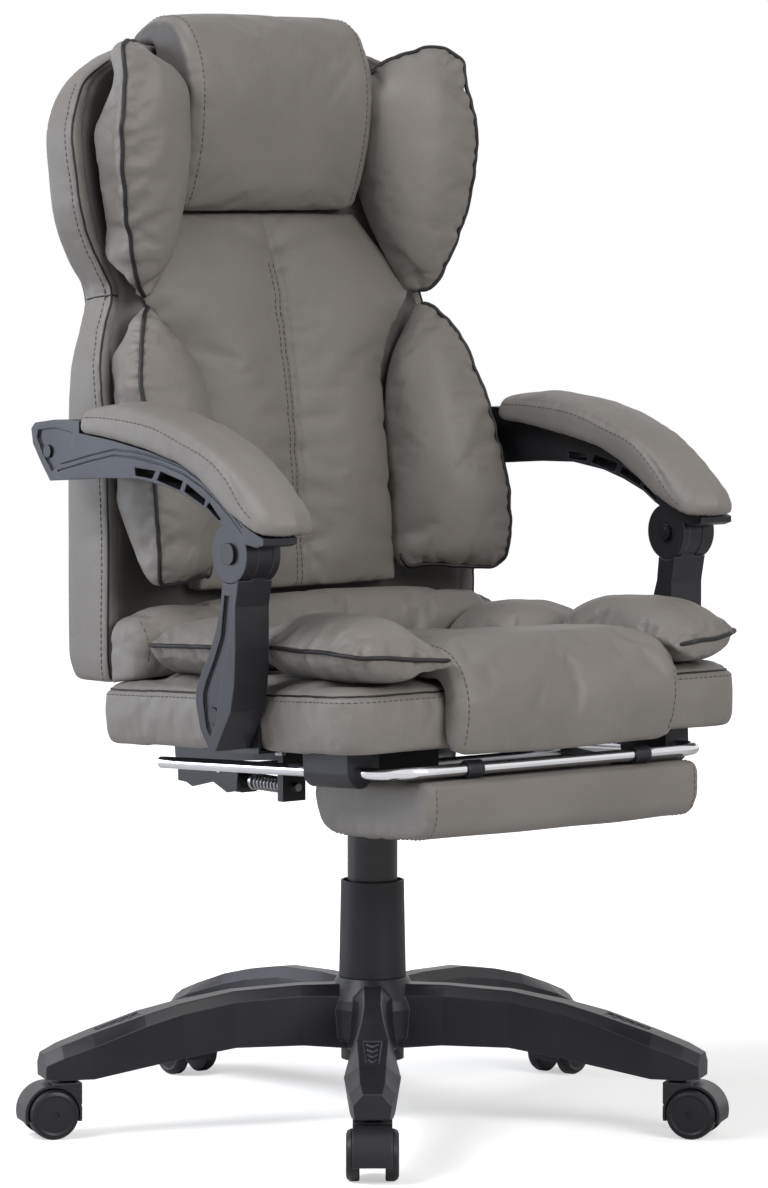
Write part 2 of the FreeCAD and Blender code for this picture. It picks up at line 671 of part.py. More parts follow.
def lock_rod():
    """The rod between the backrest's lever and the clutch, with a collar for the spring."""
    x, radius = mm("lock_x"), mm("lock_rod_radius")
    shaft = rod(V(x, -42, lock_z), V(x, mm("hinge_y") - 16, lock_z), radius)
    collar = rod(V(x, SPRING_REAR + 0.4, lock_z), V(x, SPRING_REAR + 4.4, lock_z), 8.8)
    y = mm("hinge_y")
    eye = side_plate([
        (y - 17, lock_z - 6), (y - 9, lock_z - 11), (y + 9, lock_z - 11), (y + 9, lock_z + 18),
        (y - 9, lock_z + 18), (y - 17, lock_z + 6),
    ], x - 3, x + 3)
    slot = along_x(x - 5, x + 5, y, lock_z - 0.5, radius + 0.7)
    slot = slot.fuse(along_x(x - 5, x + 5, y, lock_z + 9, radius + 0.7))
    slot = slot.fuse(Part.makeBox(10, 2 * radius + 1.4, 9.5, V(x - 5, y - radius - 0.7, lock_z - 0.5)))
    return joined([shaft, collar, eye]).cut(slot)


feature("lock_rod", lock_rod())


def lock_spring():
    """A helix of round wire between the rod's collar and the stop."""
    radius, wire = mm("spring_radius"), mm("spring_wire")
    span = SPRING_REAR - SPRING_FRONT - 2 * wire
    pitch = span / mm("spring_turns")
    helix = Part.Wire(Part.makeHelix(pitch, span, radius).Edges)
    first = helix.Edges[0]
    heading = first.tangentAt(first.FirstParameter)
    ring = Part.Wire([Part.Circle(V(radius, 0, 0), heading, wire).toShape()])
    print("spring: gap between turns %.2f mm" % (pitch - 2 * wire))
    return helix.makePipeShell([ring], True, True)


spring_place = V(mm("lock_x"), SPRING_REAR - mm("spring_wire"), lock_z)
feature("lock_spring", lock_spring(), FreeCAD.Placement(spring_place, FreeCAD.Rotation(V(1, 0, 0), 90)))

# Armrests

ARM_IN = mm("seat_half") + mm("arm_gap")
ARM_OUT = ARM_IN + mm("arm_wide")
FRONT, FOOT = (mm("hub_y"), above("hub_z")), (mm("foot_pivot_y"), above("foot_pivot_z"))
REAR = (mm("rear_pivot_y"), above("rear_pivot_z"))
TONGUE_OUT = ARM_OUT - 15
TONGUE_IN = TONGUE_OUT - mm("tongue_wide")


def near(pivot, points):
    """Points given as offsets from a pivot."""
    return [(pivot[0] + across, pivot[1] + up) for across, up in points]


def strut():
    """The left strut: a waisted upright with a tongue for the drum and a recessed face."""
    rear = near(FRONT, [(10, -16), (14, -50), (22, -74), (33, -98), (46, -117), (54, -132), (55, -144)])
    foot = near(FOOT, [(19, -13), (6, -30), (-6, -33)])
    front = near(FRONT, [(12, -172), (-1, -151), (-7, -125), (-9, -90), (-9, -50), (-16, -16)])
    upright = side_plate(rear + foot + front, ARM_IN, ARM_OUT)
    drum = mm("drum_radius")
    tongue = along_x(TONGUE_IN, TONGUE_OUT, *FRONT, drum - 0.6)
    upright = upright.cut(along_x(ARM_IN - 1, TONGUE_IN, *FRONT, drum + 0.7))
    upright = upright.cut(along_x(TONGUE_OUT, ARM_OUT + 1, *FRONT, drum + 0.7))
    body = joined([upright, tongue])
    recess = side_plate(
        near(FRONT, [(8, -40), (14, -80), (26, -104), (38, -124), (43, -136), (43, -146)])
        + near(FOOT, [(9, -12), (3, -20), (-5, -8)])
        + near(FRONT, [(15, -125), (6, -100), (-1, -70), (-1, -40)]), ARM_OUT - 2.5, ARM_OUT + 1)
    body = body.cut(recess)
    pin = mm("arm_pin") + mm("fit")
    body = body.cut(along_x(ARM_IN - 1, ARM_OUT + 1, *FRONT, pin))
    body = body.cut(along_x(ARM_IN - 1, ARM_OUT + 1, *FOOT, pin))
    return body.cut(along_x(ARM_OUT - 7.6, ARM_OUT + 1, *FOOT, 8.5))


# Offsets from the front pivot, as (back, up).
RAIL_TOP = [
    (250, 106), (194, 101), (130, 92), (82, 82), (51, 70), (20, 53), (2, 40), (-26, 27), (-44, 20),
    (-54, 17),
]
RAIL_LOW = [
    (244, 61), (195, 64), (146, 65), (98, 59), (67, 51), (36, 40), (17, 29),
]
BRACKET = [(301, 57), (317, 75), (331, 93), (334, 108), (327, 114), (293, 118), (250, 118)]
SLOTS = [
    [(155, 76), (120, 74), (126, 66), (154, 68)],
    [(112, 74), (75, 66), (80, 57), (118, 65)],
    [(69, 64), (38, 50), (41, 44), (73, 56)],
    [(32, 48), (13, 32), (17, 31), (37, 43)],
]
RIDGE = [
    (288, 68), (230, 80), (190, 87), (152, 86), (109, 81), (75, 74), (42, 62), (17, 48), (-3, 35), (-20, 21),
]


def rail():
    """The left arm rail: a curved beam with four slots, a rear bracket and the drum's two cheeks."""
    low = [(-12, 16), (-28, 10), (-44, 8), (-54, 11)]
    outline = near(FRONT, RAIL_TOP + low[::-1] + RAIL_LOW[::-1] + BRACKET)
    beam = side_plate(outline, ARM_IN, ARM_OUT)
    drum = mm("drum_radius")
    beam = beam.fuse(along_x(TONGUE_OUT + 0.4, ARM_OUT, *FRONT, drum))
    beam = beam.fuse(along_x(ARM_IN, TONGUE_IN - 0.4, *FRONT, drum))
    beam = beam.removeSplitter()
    beam = beam.cut(along_x(TONGUE_IN - 0.4, TONGUE_OUT + 0.4, *FRONT, drum))
    for corners in SLOTS:
        beam = beam.cut(side_plate(near(FRONT, corners), ARM_IN - 1, ARM_OUT + 1))
    for lift in (0, 5.5):
        upper = [(back, up + lift) for back, up in RIDGE]
        lower = [(back, up - 1.8) for back, up in upper]
        beam = beam.cut(side_plate(near(FRONT, upper + lower[::-1]), ARM_OUT - 1.4, ARM_OUT + 1))
    recess = side_plate(
        near(FRONT, [(298, 66), (313, 82), (324, 99), (322, 107), (292, 110), (262, 106), (268, 84)]),
        ARM_OUT - 2.5, ARM_OUT + 1)
    beam = beam.cut(recess)
    beam = beam.cut(along_x(ARM_IN - 1, ARM_OUT + 1, *FRONT, mm("arm_pin") + 0.05))
    return beam.cut(along_x(ARM_IN - 1, ARM_OUT + 1, *REAR, mm("arm_pin") + 0.05))


# Offsets from the front pivot of the pad's upper outline, as (back, up).
PAD_TOP = [(246, 133), (188, 139), (123, 132), (75, 121), (28, 104), (2, 91), (-24, 75), (-48, 57)]
PAD_TIP = [(-65, 42), (-72, 30), (-69, 21)]
PAD_BEND = 28


def rail_top_at(back):
    """Height of the rail's top above the front pivot, on the straight lines between its corners."""
    for (here, high), (there, low) in zip(RAIL_TOP, RAIL_TOP[1:]):
        if there <= back <= here:
            return low + (high - low) * (back - there) / (here - there)
    return RAIL_TOP[-1][1]


def pad_section(x, inset, short):
    """The pad's side outline at this x, drawn in by an inset towards its edges, its nose shortened."""
    scale = 1 - short / (PAD_BEND + 72)

    def pulled(back):
        return PAD_BEND - (PAD_BEND - back) * scale if back < PAD_BEND else back

    low = [(246, 106.5)] + [(back, up + 0.5) for back, up in RAIL_TOP[1:5]]
    for back in (18, -6, -30, -54, -69):
        place = pulled(back)
        low.append((place, rail_top_at(max(place, -54)) + 0.5 + max(0, -54 - place) * 0.15))
    top = [(min(pulled(back), 246 - inset * 0.3), up - inset) for back, up in PAD_TOP]
    tip = [(pulled(back) + inset * 0.4, up - inset * 0.2) for back, up in PAD_TIP[:2]]
    spots = [V(x, FRONT[0] + back, FRONT[1] + up) for back, up in low[::-1] + top + tip]
    edges = [line(here, there) for here, there in zip(spots, spots[1:] + spots[:1])]
    return Part.Wire(edges)


def armrest_pad():
    """Its nose is round when seen from above."""
    inner, outer = ARM_IN - mm("pad_in"), ARM_OUT + mm("pad_out")
    middle, radius = (inner + outer) / 2, (outer - inner) / 2
    places = [(inner, 15), (inner + 4, 8), (inner + 12, 3), (middle, 0), (outer - 12, 3), (outer - 4, 8), (outer, 15)]
    sections = []
    for x, inset in places:
        short = radius - math.sqrt(max(0, radius ** 2 - (x - middle) ** 2))
        sections.append(pad_section(x, inset, short * 0.85))
    return loft(sections, True)


ANCHOR_IN = BACK_HALF - mm("anchor_sink")
ANCHOR_OUT = ANCHOR_IN + mm("plate")


def arm_bolts():
    """The left arm's front bolt with its domed cap and nut, and its rear bolt with its spacer."""
    pin = mm("arm_pin")
    front = joined([
        along_x(ARM_IN - 5, ARM_OUT, *FRONT, pin), along_x(ARM_OUT + 0.1, ARM_OUT + 3, *FRONT, 10.5),
        along_x(ARM_OUT - 0.2, ARM_OUT + 0.2, *FRONT, pin),
    ])
    nut = along_x(ARM_IN - 4.5, ARM_IN - 0.2, *FRONT, 9).cut(along_x(ARM_IN - 6, ARM_IN, *FRONT, pin + 0.05))
    end = ANCHOR_OUT + 0.6
    rear = joined([
        along_x(end, ARM_OUT - 2.4, *REAR, pin), along_x(ARM_OUT - 2.4, ARM_OUT - 0.2, *REAR, 6.5),
    ])
    spacer = along_x(end, ARM_IN - 0.2, *REAR, 12).cut(along_x(end - 1, ARM_IN, *REAR, pin + 0.05))
    return Part.makeCompound([front, nut, rear, spacer])


left_arm = {
    "armrest_strut": strut(), "armrest_rail": rail(), "armrest_pad": armrest_pad(), "armrest_bolts": arm_bolts(),
}
for name, shape in left_arm.items():
    feature(name + "_left", shape)
    feature(name + "_right", mirrored(shape))

MOUNT_OUT = ARM_IN - 1


def arm_mount():
    """The left angle bracket that carries a strut: under the board, then up the cushion's side."""
    y = mm("foot_pivot_y")
    lying = side_plate([under(y - 20, 3), under(y + 20, 3), under(y + 20, 0), under(y - 20, 0)],
                       MOUNT_BOLT - 25, MOUNT_OUT)
    standing = side_plate([
        under(y - 20, 3), under(y + 20, 3), (y + 20, FOOT[1] + 6), (y + 12, FOOT[1] + 16),
        (y - 12, FOOT[1] + 16), (y - 20, FOOT[1] + 6),
    ], MOUNT_OUT - 3, MOUNT_OUT)
    body = joined([lying, standing])
    return body.cut(along_x(MOUNT_OUT - 10, MOUNT_OUT + 10, *FOOT, mm("arm_pin") + 0.05)).cut(bolt_holes())


feature("arm_mounts", Part.makeCompound([arm_mount(), mirrored(arm_mount())]))


def pivot_bolts():
    """The bolts of the recline hinge and of the struts' feet, each with its nut."""
    hinge = (mm("hinge_y"), above("hinge_z"))
    middle, wall = mm("hinge_x"), mm("hinge_plate")
    pin = joined([
        along_x(middle - wall * 2 - 3.5, middle + wall / 2, *hinge, mm("hinge_pin")),
        along_x(middle + wall / 2, middle + wall / 2 + 4, *hinge, 8.5),
        along_x(middle - wall * 2 - 4, middle - wall * 2 + 0.6, *hinge, 8.5),
    ])
    foot = joined([
        along_x(MOUNT_OUT - 2.9, ARM_OUT - 7, *FOOT, mm("arm_pin")),
        along_x(ARM_OUT - 7, ARM_OUT - 1.2, *FOOT, 8.1),
    ])
    return Part.makeCompound([pin, mirrored(pin), foot, mirrored(foot)])


feature("pivot_bolts", pivot_bolts())

# Seat upholstery, in the tilted seat frame


def rounded(inset, height, front_radius, rear_radius):
    """The seat's plan outline at a height: straight sides and four round corners."""
    half, front, back = mm("seat_half") - inset, mm("seat_front") - inset, mm("seat_back") - inset
    big, small = front_radius - inset * 0.4, rear_radius - inset * 0.4
    tuck = 1 - math.sqrt(0.5)

    def corner(across, ahead, radius, side, end):
        """From the side to the end when end is the front, and from the end to the side otherwise."""
        return [
            V(side * across, ahead - end * radius, height),
            V(side * (across - radius * tuck), ahead - end * radius * tuck, height),
            V(side * (across - radius), ahead, height),
        ]

    front_left = corner(half, -front, big, 1, -1)
    front_right = corner(half, -front, big, -1, -1)
    rear_right = corner(half, back, small, -1, 1)
    rear_left = corner(half, back, small, 1, 1)
    edges = [
        arc(*front_left), line(front_left[2], front_right[2]), arc(*front_right[::-1]),
        line(front_right[0], rear_right[0]), arc(*rear_right), line(rear_right[2], rear_left[2]),
        arc(*rear_left[::-1]), line(rear_left[0], front_left[0]),
    ]
    return Part.Wire(edges)


seam, crown = mm("seat_seam"), mm("seat_crown")
board_shape = loft([
    rounded(mm("board_inset"), mm("board_low"), 70, 34),
    rounded(mm("board_inset"), mm("board_low") + mm("board_thick"), 70, 34),
], True)
feature("seat_board", board_shape.cut(Part.makeCompound(
    [along_z(0, mm("board_low") + 10.5, x, y, 3.2) for x, y in SEAT_BOLTS])), SEAT)
cushion = loft([
    rounded(5, 0, 34, 18), rounded(1, 9, 34, 18), rounded(0, 30, 34, 18), rounded(1, seam - 5, 34, 18),
    rounded(4, seam, 34, 18), rounded(14, seam + 4.5, 36, 20), rounded(50, crown, 44, 28),
], True)
hollow = loft([
    rounded(mm("board_inset") - 0.2, -1, 70, 34),
    rounded(mm("board_inset") - 0.2, mm("board_low") + mm("board_thick") + 0.2, 70, 34),
], True)
notches = [
    Part.makeBox(30, 42, 6.4, V(start, mm("foot_pivot_y") - 21, mm("board_low") - 6))
    for start in (mm("seat_half") - 25, -mm("seat_half") - 5)
]
seat_cushion = cushion.cut(hollow).cut(Part.makeCompound(notches))
feature("seat_cushion", seat_cushion, SEAT)
feature("seat_bolts", Part.makeCompound([
    joined([along_z(mm("board_low") - 7.2, mm("board_low") - 3.2, x, y, 5),
            along_z(mm("board_low") - 4, mm("board_low") + 10, x, y, 3)]) for x, y in SEAT_BOLTS
]), SEAT)


def smooth_wire(spots, bulges):
    """A closed (y, z) wire: from each spot a line, or an arc that swells outward by its bulge."""
    area = sum(here.y * there.z - there.y * here.z for here, there in zip(spots, spots[1:] + spots[:1]))
    turn = 1 if area > 0 else -1
    edges = []
    for index, (here, there) in enumerate(zip(spots, spots[1:] + spots[:1])):
        if bulges[index] == 0:
            edges.append(line(here, there))
            continue
        way = there - here
        outward = V(0, way.z, -way.y).normalize() * turn
        edges.append(arc(here, (here + there) * 0.5 + outward * bulges[index], there))
    return Part.Wire(edges)


def centre_pad():
    """The waterfall pad: along the middle of the seat, over its front edge and down."""
    top, nose = mm("pad_top"), -mm("nose_reach")
    inner = -mm("seat_front") - 2
    rear = mm("roll_front") - 6

    def section(x, inset):
        spots = [
            V(x, rear - inset, crown + 0.5), V(x, rear - inset, top - 16 - inset),
            V(x, rear - 24, top - 5 - inset), V(x, -110, top - 3 - inset * 1.5),
            V(x, nose + 52, top - inset), V(x, nose + inset, 46),
            V(x, nose + 14 + inset, -7 + inset), V(x, inner, -7 + inset), V(x, inner, crown - 8),
            V(x, inner + 10, crown + 0.5),
        ]
        return smooth_wire(spots, [0, 5, -1.5, 3, 15, 3, 0, 0, 0, 0])

    half = mm("seat_half") - mm("centre_inset")
    body = loft([section(x, inset) for x, inset in
                 [(-half, 12), (-half + 5, 4), (-half + 18, 0.5), (0, 0), (half - 18, 0.5), (half - 5, 4),
                  (half, 12)]], True)
    return body


centre = carved(centre_pad(), [seat_cushion], V(0, -1, 1))
feature("seat_centre_pad", centre, SEAT)


def rear_roll():
    """The plump roll across the back of the seat, narrower at its two ends."""
    back, front, top = mm("roll_back"), mm("roll_front"), mm("roll_top")

    def section(x, share):
        forward = front + (1 - share) * 26
        high = top - (1 - share) * 24
        spots = [
            V(x, back, crown - 6), V(x, back, high - 16), V(x, (back + forward) / 2 + 6, high),
            V(x, forward, high - 34), V(x, forward + 6, crown - 6),
        ]
        return smooth_wire(spots, [0, 5, 9, 3, 0])

    half = mm("seat_half") - mm("roll_inset")
    places = [(-1, 0), (-0.97, 0.35), (-0.85, 0.75), (-0.5, 0.96), (0, 1), (0.5, 0.96), (0.85, 0.75),
              (0.97, 0.35), (1, 0)]
    return loft([section(place * half, share) for place, share in places], True)


roll = carved(rear_roll(), [seat_cushion], V(0, 0, 1))
roll = carved(roll, [centre], V(0, 1, 0))
feature("seat_rear_roll", roll, SEAT)


def bolster(rows, side):
    """A piped side bolster: rows of (y, inner edge, outer edge, piping height, rise, fall)."""
    wires = []
    for y, inner, outer, pipe, rise, fall in rows:
        near, far = side * (mm("seat_half") - inner), side * (mm("seat_half") - outer)
        wires.append(lens(V(near, y, pipe - 4), V(far, y, pipe), rise, fall, V(0, 0, 1)))
    body = loft(wires)
    return carved(carved(body, [seat_cushion], V(0, 0, 1)), [centre], V(side, 0, 0))


# Their edges are measured inward from the seat cushion's side.
FRONT_BOLSTER = [
    (-98, 62, 34, 103, 3, 3), (-112, 92, 18, 103, 14, 18), (-140, 112, 6, 102, 24, 31),
    (-190, 114, 2, 100, 30, 34), (-235, 114, 1, 98, 29, 34), (-268, 113, 2, 96, 24, 30),
    (-288, 112, 9, 93, 16, 24), (-302, 112, 46, 90, 9, 16), (-312, 113, 90, 86, 3, 5),
]
REAR_BOLSTER = [
    (-92, 74, 46, 99, 3, 4), (-76, 102, 20, 99, 15, 20), (-36, 115, 8, 100, 24, 32),
    (10, 115, 6, 100, 25, 32), (46, 115, 8, 100, 23, 32),
]
for side, sign in (("left", 1), ("right", -1)):
    feature(f"front_bolster_{side}", bolster(FRONT_BOLSTER, sign), SEAT)
feature("rear_bolsters", Part.makeCompound(
    [carved(bolster(REAR_BOLSTER, sign), [roll], V(0, -1, 0)) for sign in (1, -1)]), SEAT)

# Footrest, in the tilted seat frame


def footrest_frame():
    """A chromed tube bent to a U: two rails and a cross bar."""
    x, z, rear, bar, bend = mm("rail_x"), mm("rail_z"), mm("rail_rear"), mm("bar_y"), mm("bend_radius")
    tuck = bend * (1 - math.sqrt(0.5))
    path = Part.Wire([
        line(V(-x, rear, z), V(-x, bar + bend, z)),
        arc(V(-x, bar + bend, z), V(-x + tuck, bar + tuck, z), V(-x + bend, bar, z)),
        line(V(-x + bend, bar, z), V(x - bend, bar, z)),
        arc(V(x - bend, bar, z), V(x - tuck, bar + tuck, z), V(x, bar + bend, z)),
        line(V(x, bar + bend, z), V(x, rear, z)),
    ])
    outer = Part.Wire([Part.Circle(V(-x, rear, z), V(0, 1, 0), mm("rail_radius")).toShape()])
    return path.makePipeShell([outer], True, False)


feature("footrest_frame", footrest_frame(), SEAT)


def footrest_guide(x):
    rear, front, z, radius = mm("guide_rear"), mm("guide_front"), mm("rail_z"), mm("guide_radius")
    sleeve = rod(V(x, rear, z), V(x, front, z), radius)
    saddle = Part.makeBox(2 * radius, rear - front, mm("board_low") - z, V(x - radius, front, z))
    body = joined([sleeve, saddle])
    return body.cut(rod(V(x, rear + 5, z), V(x, front - 5, z), mm("rail_radius") + mm("fit")))


feature("footrest_guides", Part.makeCompound([footrest_guide(x) for x in (-mm("rail_x"), mm("rail_x"))]), SEAT)


def footrest_pad():
    """A boxed pad with round lower corners, drawn in a little at its two ends."""
    rear, front = mm("foot_rear"), mm("foot_front")
    top = mm("rail_z") - mm("foot_drop")
    low = top - mm("foot_thick")

    def section(x, inset):
        edge_low, edge_rear, edge_front = low + inset, rear - inset, front + inset
        spots = [
            V(x, edge_front, top - 5), V(x, edge_front + 5, top), V(x, edge_rear - 5, top),
            V(x, edge_rear, top - 5), V(x, edge_rear, edge_low + 30), V(x, edge_rear - 30, edge_low),
            V(x, edge_front + 22, edge_low), V(x, edge_front, edge_low + 22),
        ]
        return smooth_wire(spots, [1.5, 0, 1.5, 2, 8.5, 1.5, 6, 1.5])

    half = mm("foot_half")
    return loft([section(x, inset) for x, inset in
                 [(-half, 3), (-half + 5, 0.6), (0, 0), (half - 5, 0.6), (half, 3)]], True)


feature("footrest_pad", footrest_pad(), SEAT)


def footrest_clip(x):
    """A saddle that turns on the cross bar, with a foot screwed to the pad's top."""
    y, z, radius = mm("bar_y"), mm("rail_z"), mm("rail_radius") + mm("fit")
    foot = z - mm("foot_drop")
    ring = along_x(x - 9, x + 9, y, z, radius + 2.4)
    tongue = Part.makeBox(18, 34, 2.6, V(x - 9, y, foot + 0.1))
    body = joined([ring, tongue])
    return body.cut(along_x(x - 12, x + 12, y, z, radius)).cut(
        Part.makeBox(40, 60, 20, V(x - 20, y - 30, foot - 19.9)))


feature("footrest_clips", Part.makeCompound([footrest_clip(x) for x in (-mm("clip_x"), mm("clip_x"))]), SEAT)

# Backrest

# Each row: share of the height, share of the half width, then y of the side's front edge,
# the side's rear edge, the rear's middle and the hollow's floor.
SHELL = [
    (0.0, 0.932, 128, 194, 202, 159), (0.035, 0.944, 127, 202, 210, 163), (0.24, 0.944, 126, 203, 212, 166),
    (0.40, 0.944, 132, 203, 212, 166), (0.50, 0.92, 148, 206, 217, 167), (0.56, 0.845, 166, 217, 228, 175),
    (0.607, 0.797, 171, 230, 239, 181), (0.65, 0.85, 171, 232, 241, 193), (0.688, 0.913, 168, 227, 242, 206),
    (0.736, 0.968, 162, 220, 244, 218), (0.80, 0.992, 163, 218, 247, 227), (0.86, 0.996, 168, 220, 250, 229),
    (0.912, 0.93, 182, 229, 253, 229), (0.944, 0.853, 196, 234, 255, 228), (0.98, 0.70, 202, 240, 256, 225),
    (1.0, 0.56, 206, 242, 257, 222),
]


def shell_at(share):
    """Half width and depths of the shell at a share of its height."""
    half, front, side, rear, floor = flow(SHELL, share)
    return half * BACK_HALF, front, side, rear, floor


def shell_section(share):
    half, front, side, rear, floor = shell_at(share)
    z = above("back_bottom") + share * mm("back_tall")
    lip, floor_half = half - 16, half - 62
    corner = 16
    slope = (rear - side) * 0.35

    def pair(x, y):
        return V(-x, y, z), V(x, y, z)

    front_l, front_r = pair(half - 3, front)
    edge_l, edge_r = pair(half, front + 5)
    side_l, side_r = pair(half, side - corner)
    tuck_l, tuck_r = pair(half - 4, side - 3)
    rear_l, rear_r = pair(half - corner, side + slope * 0.4)
    lip_l, lip_r = pair(lip, front + 3)
    floor_l, floor_r = pair(floor_half, floor)
    return Part.Wire([
        line(front_l, edge_l), line(edge_l, side_l), arc(side_l, tuck_l, rear_l),
        arc(rear_l, V(0, rear, z), rear_r), arc(rear_r, tuck_r, side_r), line(side_r, edge_r),
        line(edge_r, front_r), line(front_r, lip_r), line(lip_r, floor_r), line(floor_r, floor_l),
        line(floor_l, lip_l), line(lip_l, front_l),
    ])


SHELL_TOP = above("back_bottom") + mm("back_tall")
HEAD_LOW = SHELL_TOP - mm("head_low")
SHELL_STEPS = 24
shares = sorted({row[0] for row in SHELL} | {step / SHELL_STEPS for step in range(SHELL_STEPS + 1)})
shares = [share for index, share in enumerate(shares) if index == 0 or share - shares[index - 1] > 0.012]
shares[-1] = 1.0
back_shell = loft([shell_section(share) for share in shares], True)


def floor_at(z):
    """y of the shell's hollow floor at a height, on the straight lines between its sections."""
    share = (z - above("back_bottom")) / mm("back_tall")
    after = next((index for index, entry in enumerate(shares) if entry >= share), len(shares) - 1)
    after = max(after, 1)
    low, high = shares[after - 1], shares[after]
    part = (share - low) / (high - low)
    return shell_at(low)[4] * (1 - part) + shell_at(high)[4] * part


def sheet_profile(low, high, back_gap, thick):
    """A (y, z) outline of a sheet that follows the hollow's floor between two heights."""
    heights = [low] + [
        above("back_bottom") + share * mm("back_tall") for share in shares
        if low < above("back_bottom") + share * mm("back_tall") < high
    ] + [high]
    rear = [(floor_at(z) - back_gap, z) for z in heights]
    front = [(y - thick, z) for y, z in rear]
    return rear + front[::-1]


BRACKET_THICK = 5
board_low, board_high = above("back_bottom") + 28, above("back_bottom") + mm("back_tall") * 0.88
board_back = BRACKET_THICK + 0.6
back_board = side_plate(
    sheet_profile(board_low, board_high, board_back, mm("back_board_thick")),
    mm("back_board_inset") - BACK_HALF, BACK_HALF - mm("back_board_inset"))
feature("back_board", back_board)


def back_bracket():
    """The right backrest bracket: a hinge lever below and an upright behind the board."""
    wall = mm("hinge_plate")
    outer = -mm("hinge_x") + wall / 2 + 1
    inner = outer + wall
    y, z = mm("hinge_y"), above("hinge_z")
    low = z - mm("lock_drop")
    top = above("back_bottom") + 170
    upright = side_plate(sheet_profile(above("back_bottom") + 6, top, 0.3, BRACKET_THICK), outer, outer + 36)
    cheek = side_plate([
        (y - 9, low - 9), (y + 9, low - 9), (y + 11, z),
        (floor_at(above("back_bottom") + 2) - 0.6, above("back_bottom") + 2),
        (floor_at(above("back_bottom") + 12) - 0.6, above("back_bottom") + 12),
        (floor_at(above("back_bottom") + 12) - 0.3 - BRACKET_THICK, above("back_bottom") + 12),
        (y - 4, z + 30), (y - 11, z),
    ], outer, inner)
    eye = along_x(outer, inner, y, z, mm("hinge_pin") + 6)
    return joined([upright, cheek, eye]).cut(along_x(-200, 200, y, z, mm("hinge_pin") + mm("fit")))


right_back = back_bracket()
lever_pin = along_x(-mm("hinge_x") + mm("hinge_plate") / 2 + 3, mm("lock_x") + 5, mm("hinge_y"), lock_z,
                    mm("lock_rod_radius"))
feature("back_brackets", Part.makeCompound([joined([right_back, lever_pin]), mirrored(right_back)]))
shell_solid = back_shell
feature("back_shell", shell_solid)



def raised(table):
    """A table's first column turned from shares of the shell's height into heights above the floor."""
    return [(above("back_bottom") + row[0] * mm("back_tall"), *row[1:]) for row in table]


# y of the centre seam, at shares of the shell's height.
SEAM = raised([
    (0.1326, 111), (0.2278, 114), (0.351, 122), (0.4727, 134), (0.5991, 148), (0.6661, 163),
    (0.7317, 185),
])
CENTRE_INSET = raised([
    (0.1326, 134), (0.2387, 135), (0.3947, 135), (0.4883, 130), (0.5507, 104), (0.6053, 78),
    (0.6755, 104), (0.7457, 128),
])


def centre_back():
    """The two channels beside the centre seam, narrow between the side cushions."""
    wires = []
    low, high = above("back_bottom") + 88, HEAD_LOW - 1
    steps = 14
    for step in range(steps + 1):
        z = low + (high - low) * step / steps
        seam_y = flow(SEAM, z)[0]
        half = BACK_HALF - flow(CENTRE_INSET, z)[0]
        back = floor_at(z) - board_back - mm("back_board_thick") - mm("soft_gap")
        swell = 11 if 0 < step < steps else 7
        edge = min(seam_y + 10, back - 4)
        quarter = (seam_y + edge) / 2 - swell
        near_side, far_side, middle = V(-half, edge, z), V(half, edge, z), V(0, seam_y, z)
        near_back, far_back = V(-half, back, z), V(half, back, z)
        wires.append(Part.Wire([
            arc(near_side, V(-half / 2, quarter, z), middle),
            arc(middle, V(half / 2, quarter, z), far_side), line(far_side, far_back),
            line(far_back, near_back), line(near_back, near_side),
        ]))
    return loft(wires, True)


# Rows: share of the height, then x inward from the shoulders' side and y of the inner edge, the piped
# outer edge, the outer back and the inner back, and last how far the front swells.
WING = raised([
    (0.6006, 86, 150, 70, 140, 68, 152, 84, 160, 3),
    (0.6599, 106, 156, 49, 130, 24, 126, 102, 172, 20),
    (0.7223, 121, 164, 35, 121, 17, 141, 115, 186, 30),
    (0.8003, 133, 172, 27, 115, 12, 157, 126, 198, 36),
    (0.8783, 139, 177, 25, 113, 15, 159, 132, 204, 37),
    (0.9407, 138, 179, 34, 118, 40, 150, 130, 194, 32),
    (0.9844, 96, 168, 33, 124, 48, 166, 90, 186, 18),
    (1.0031, 70, 154, 44, 136, 56, 160, 66, 168, 5),
])
LUMBAR = raised([
    (0.156, 126, 104, 34, 66, 38, 84, 122, 118, 4),
    (0.1763, 130, 108, 28, 57, 30, 112, 126, 136, 20),
    (0.2231, 130, 112, 26, 55, 29, 125, 124, 147, 27),
    (0.2855, 130, 113, 25.5, 58, 29, 125, 124, 148, 30),
    (0.3791, 130, 115, 28, 76, 30, 123, 124, 148, 29),
    (0.4571, 128, 119, 34, 94, 31, 128, 121, 147.5, 25),
    (0.507, 117, 125, 42, 106, 33, 136, 111, 148, 20),
    (0.5538, 96, 136, 54, 120, 46, 140, 90, 151, 13),
    (0.5881, 80, 146, 70, 136, 68, 142, 76, 154, 3),
])


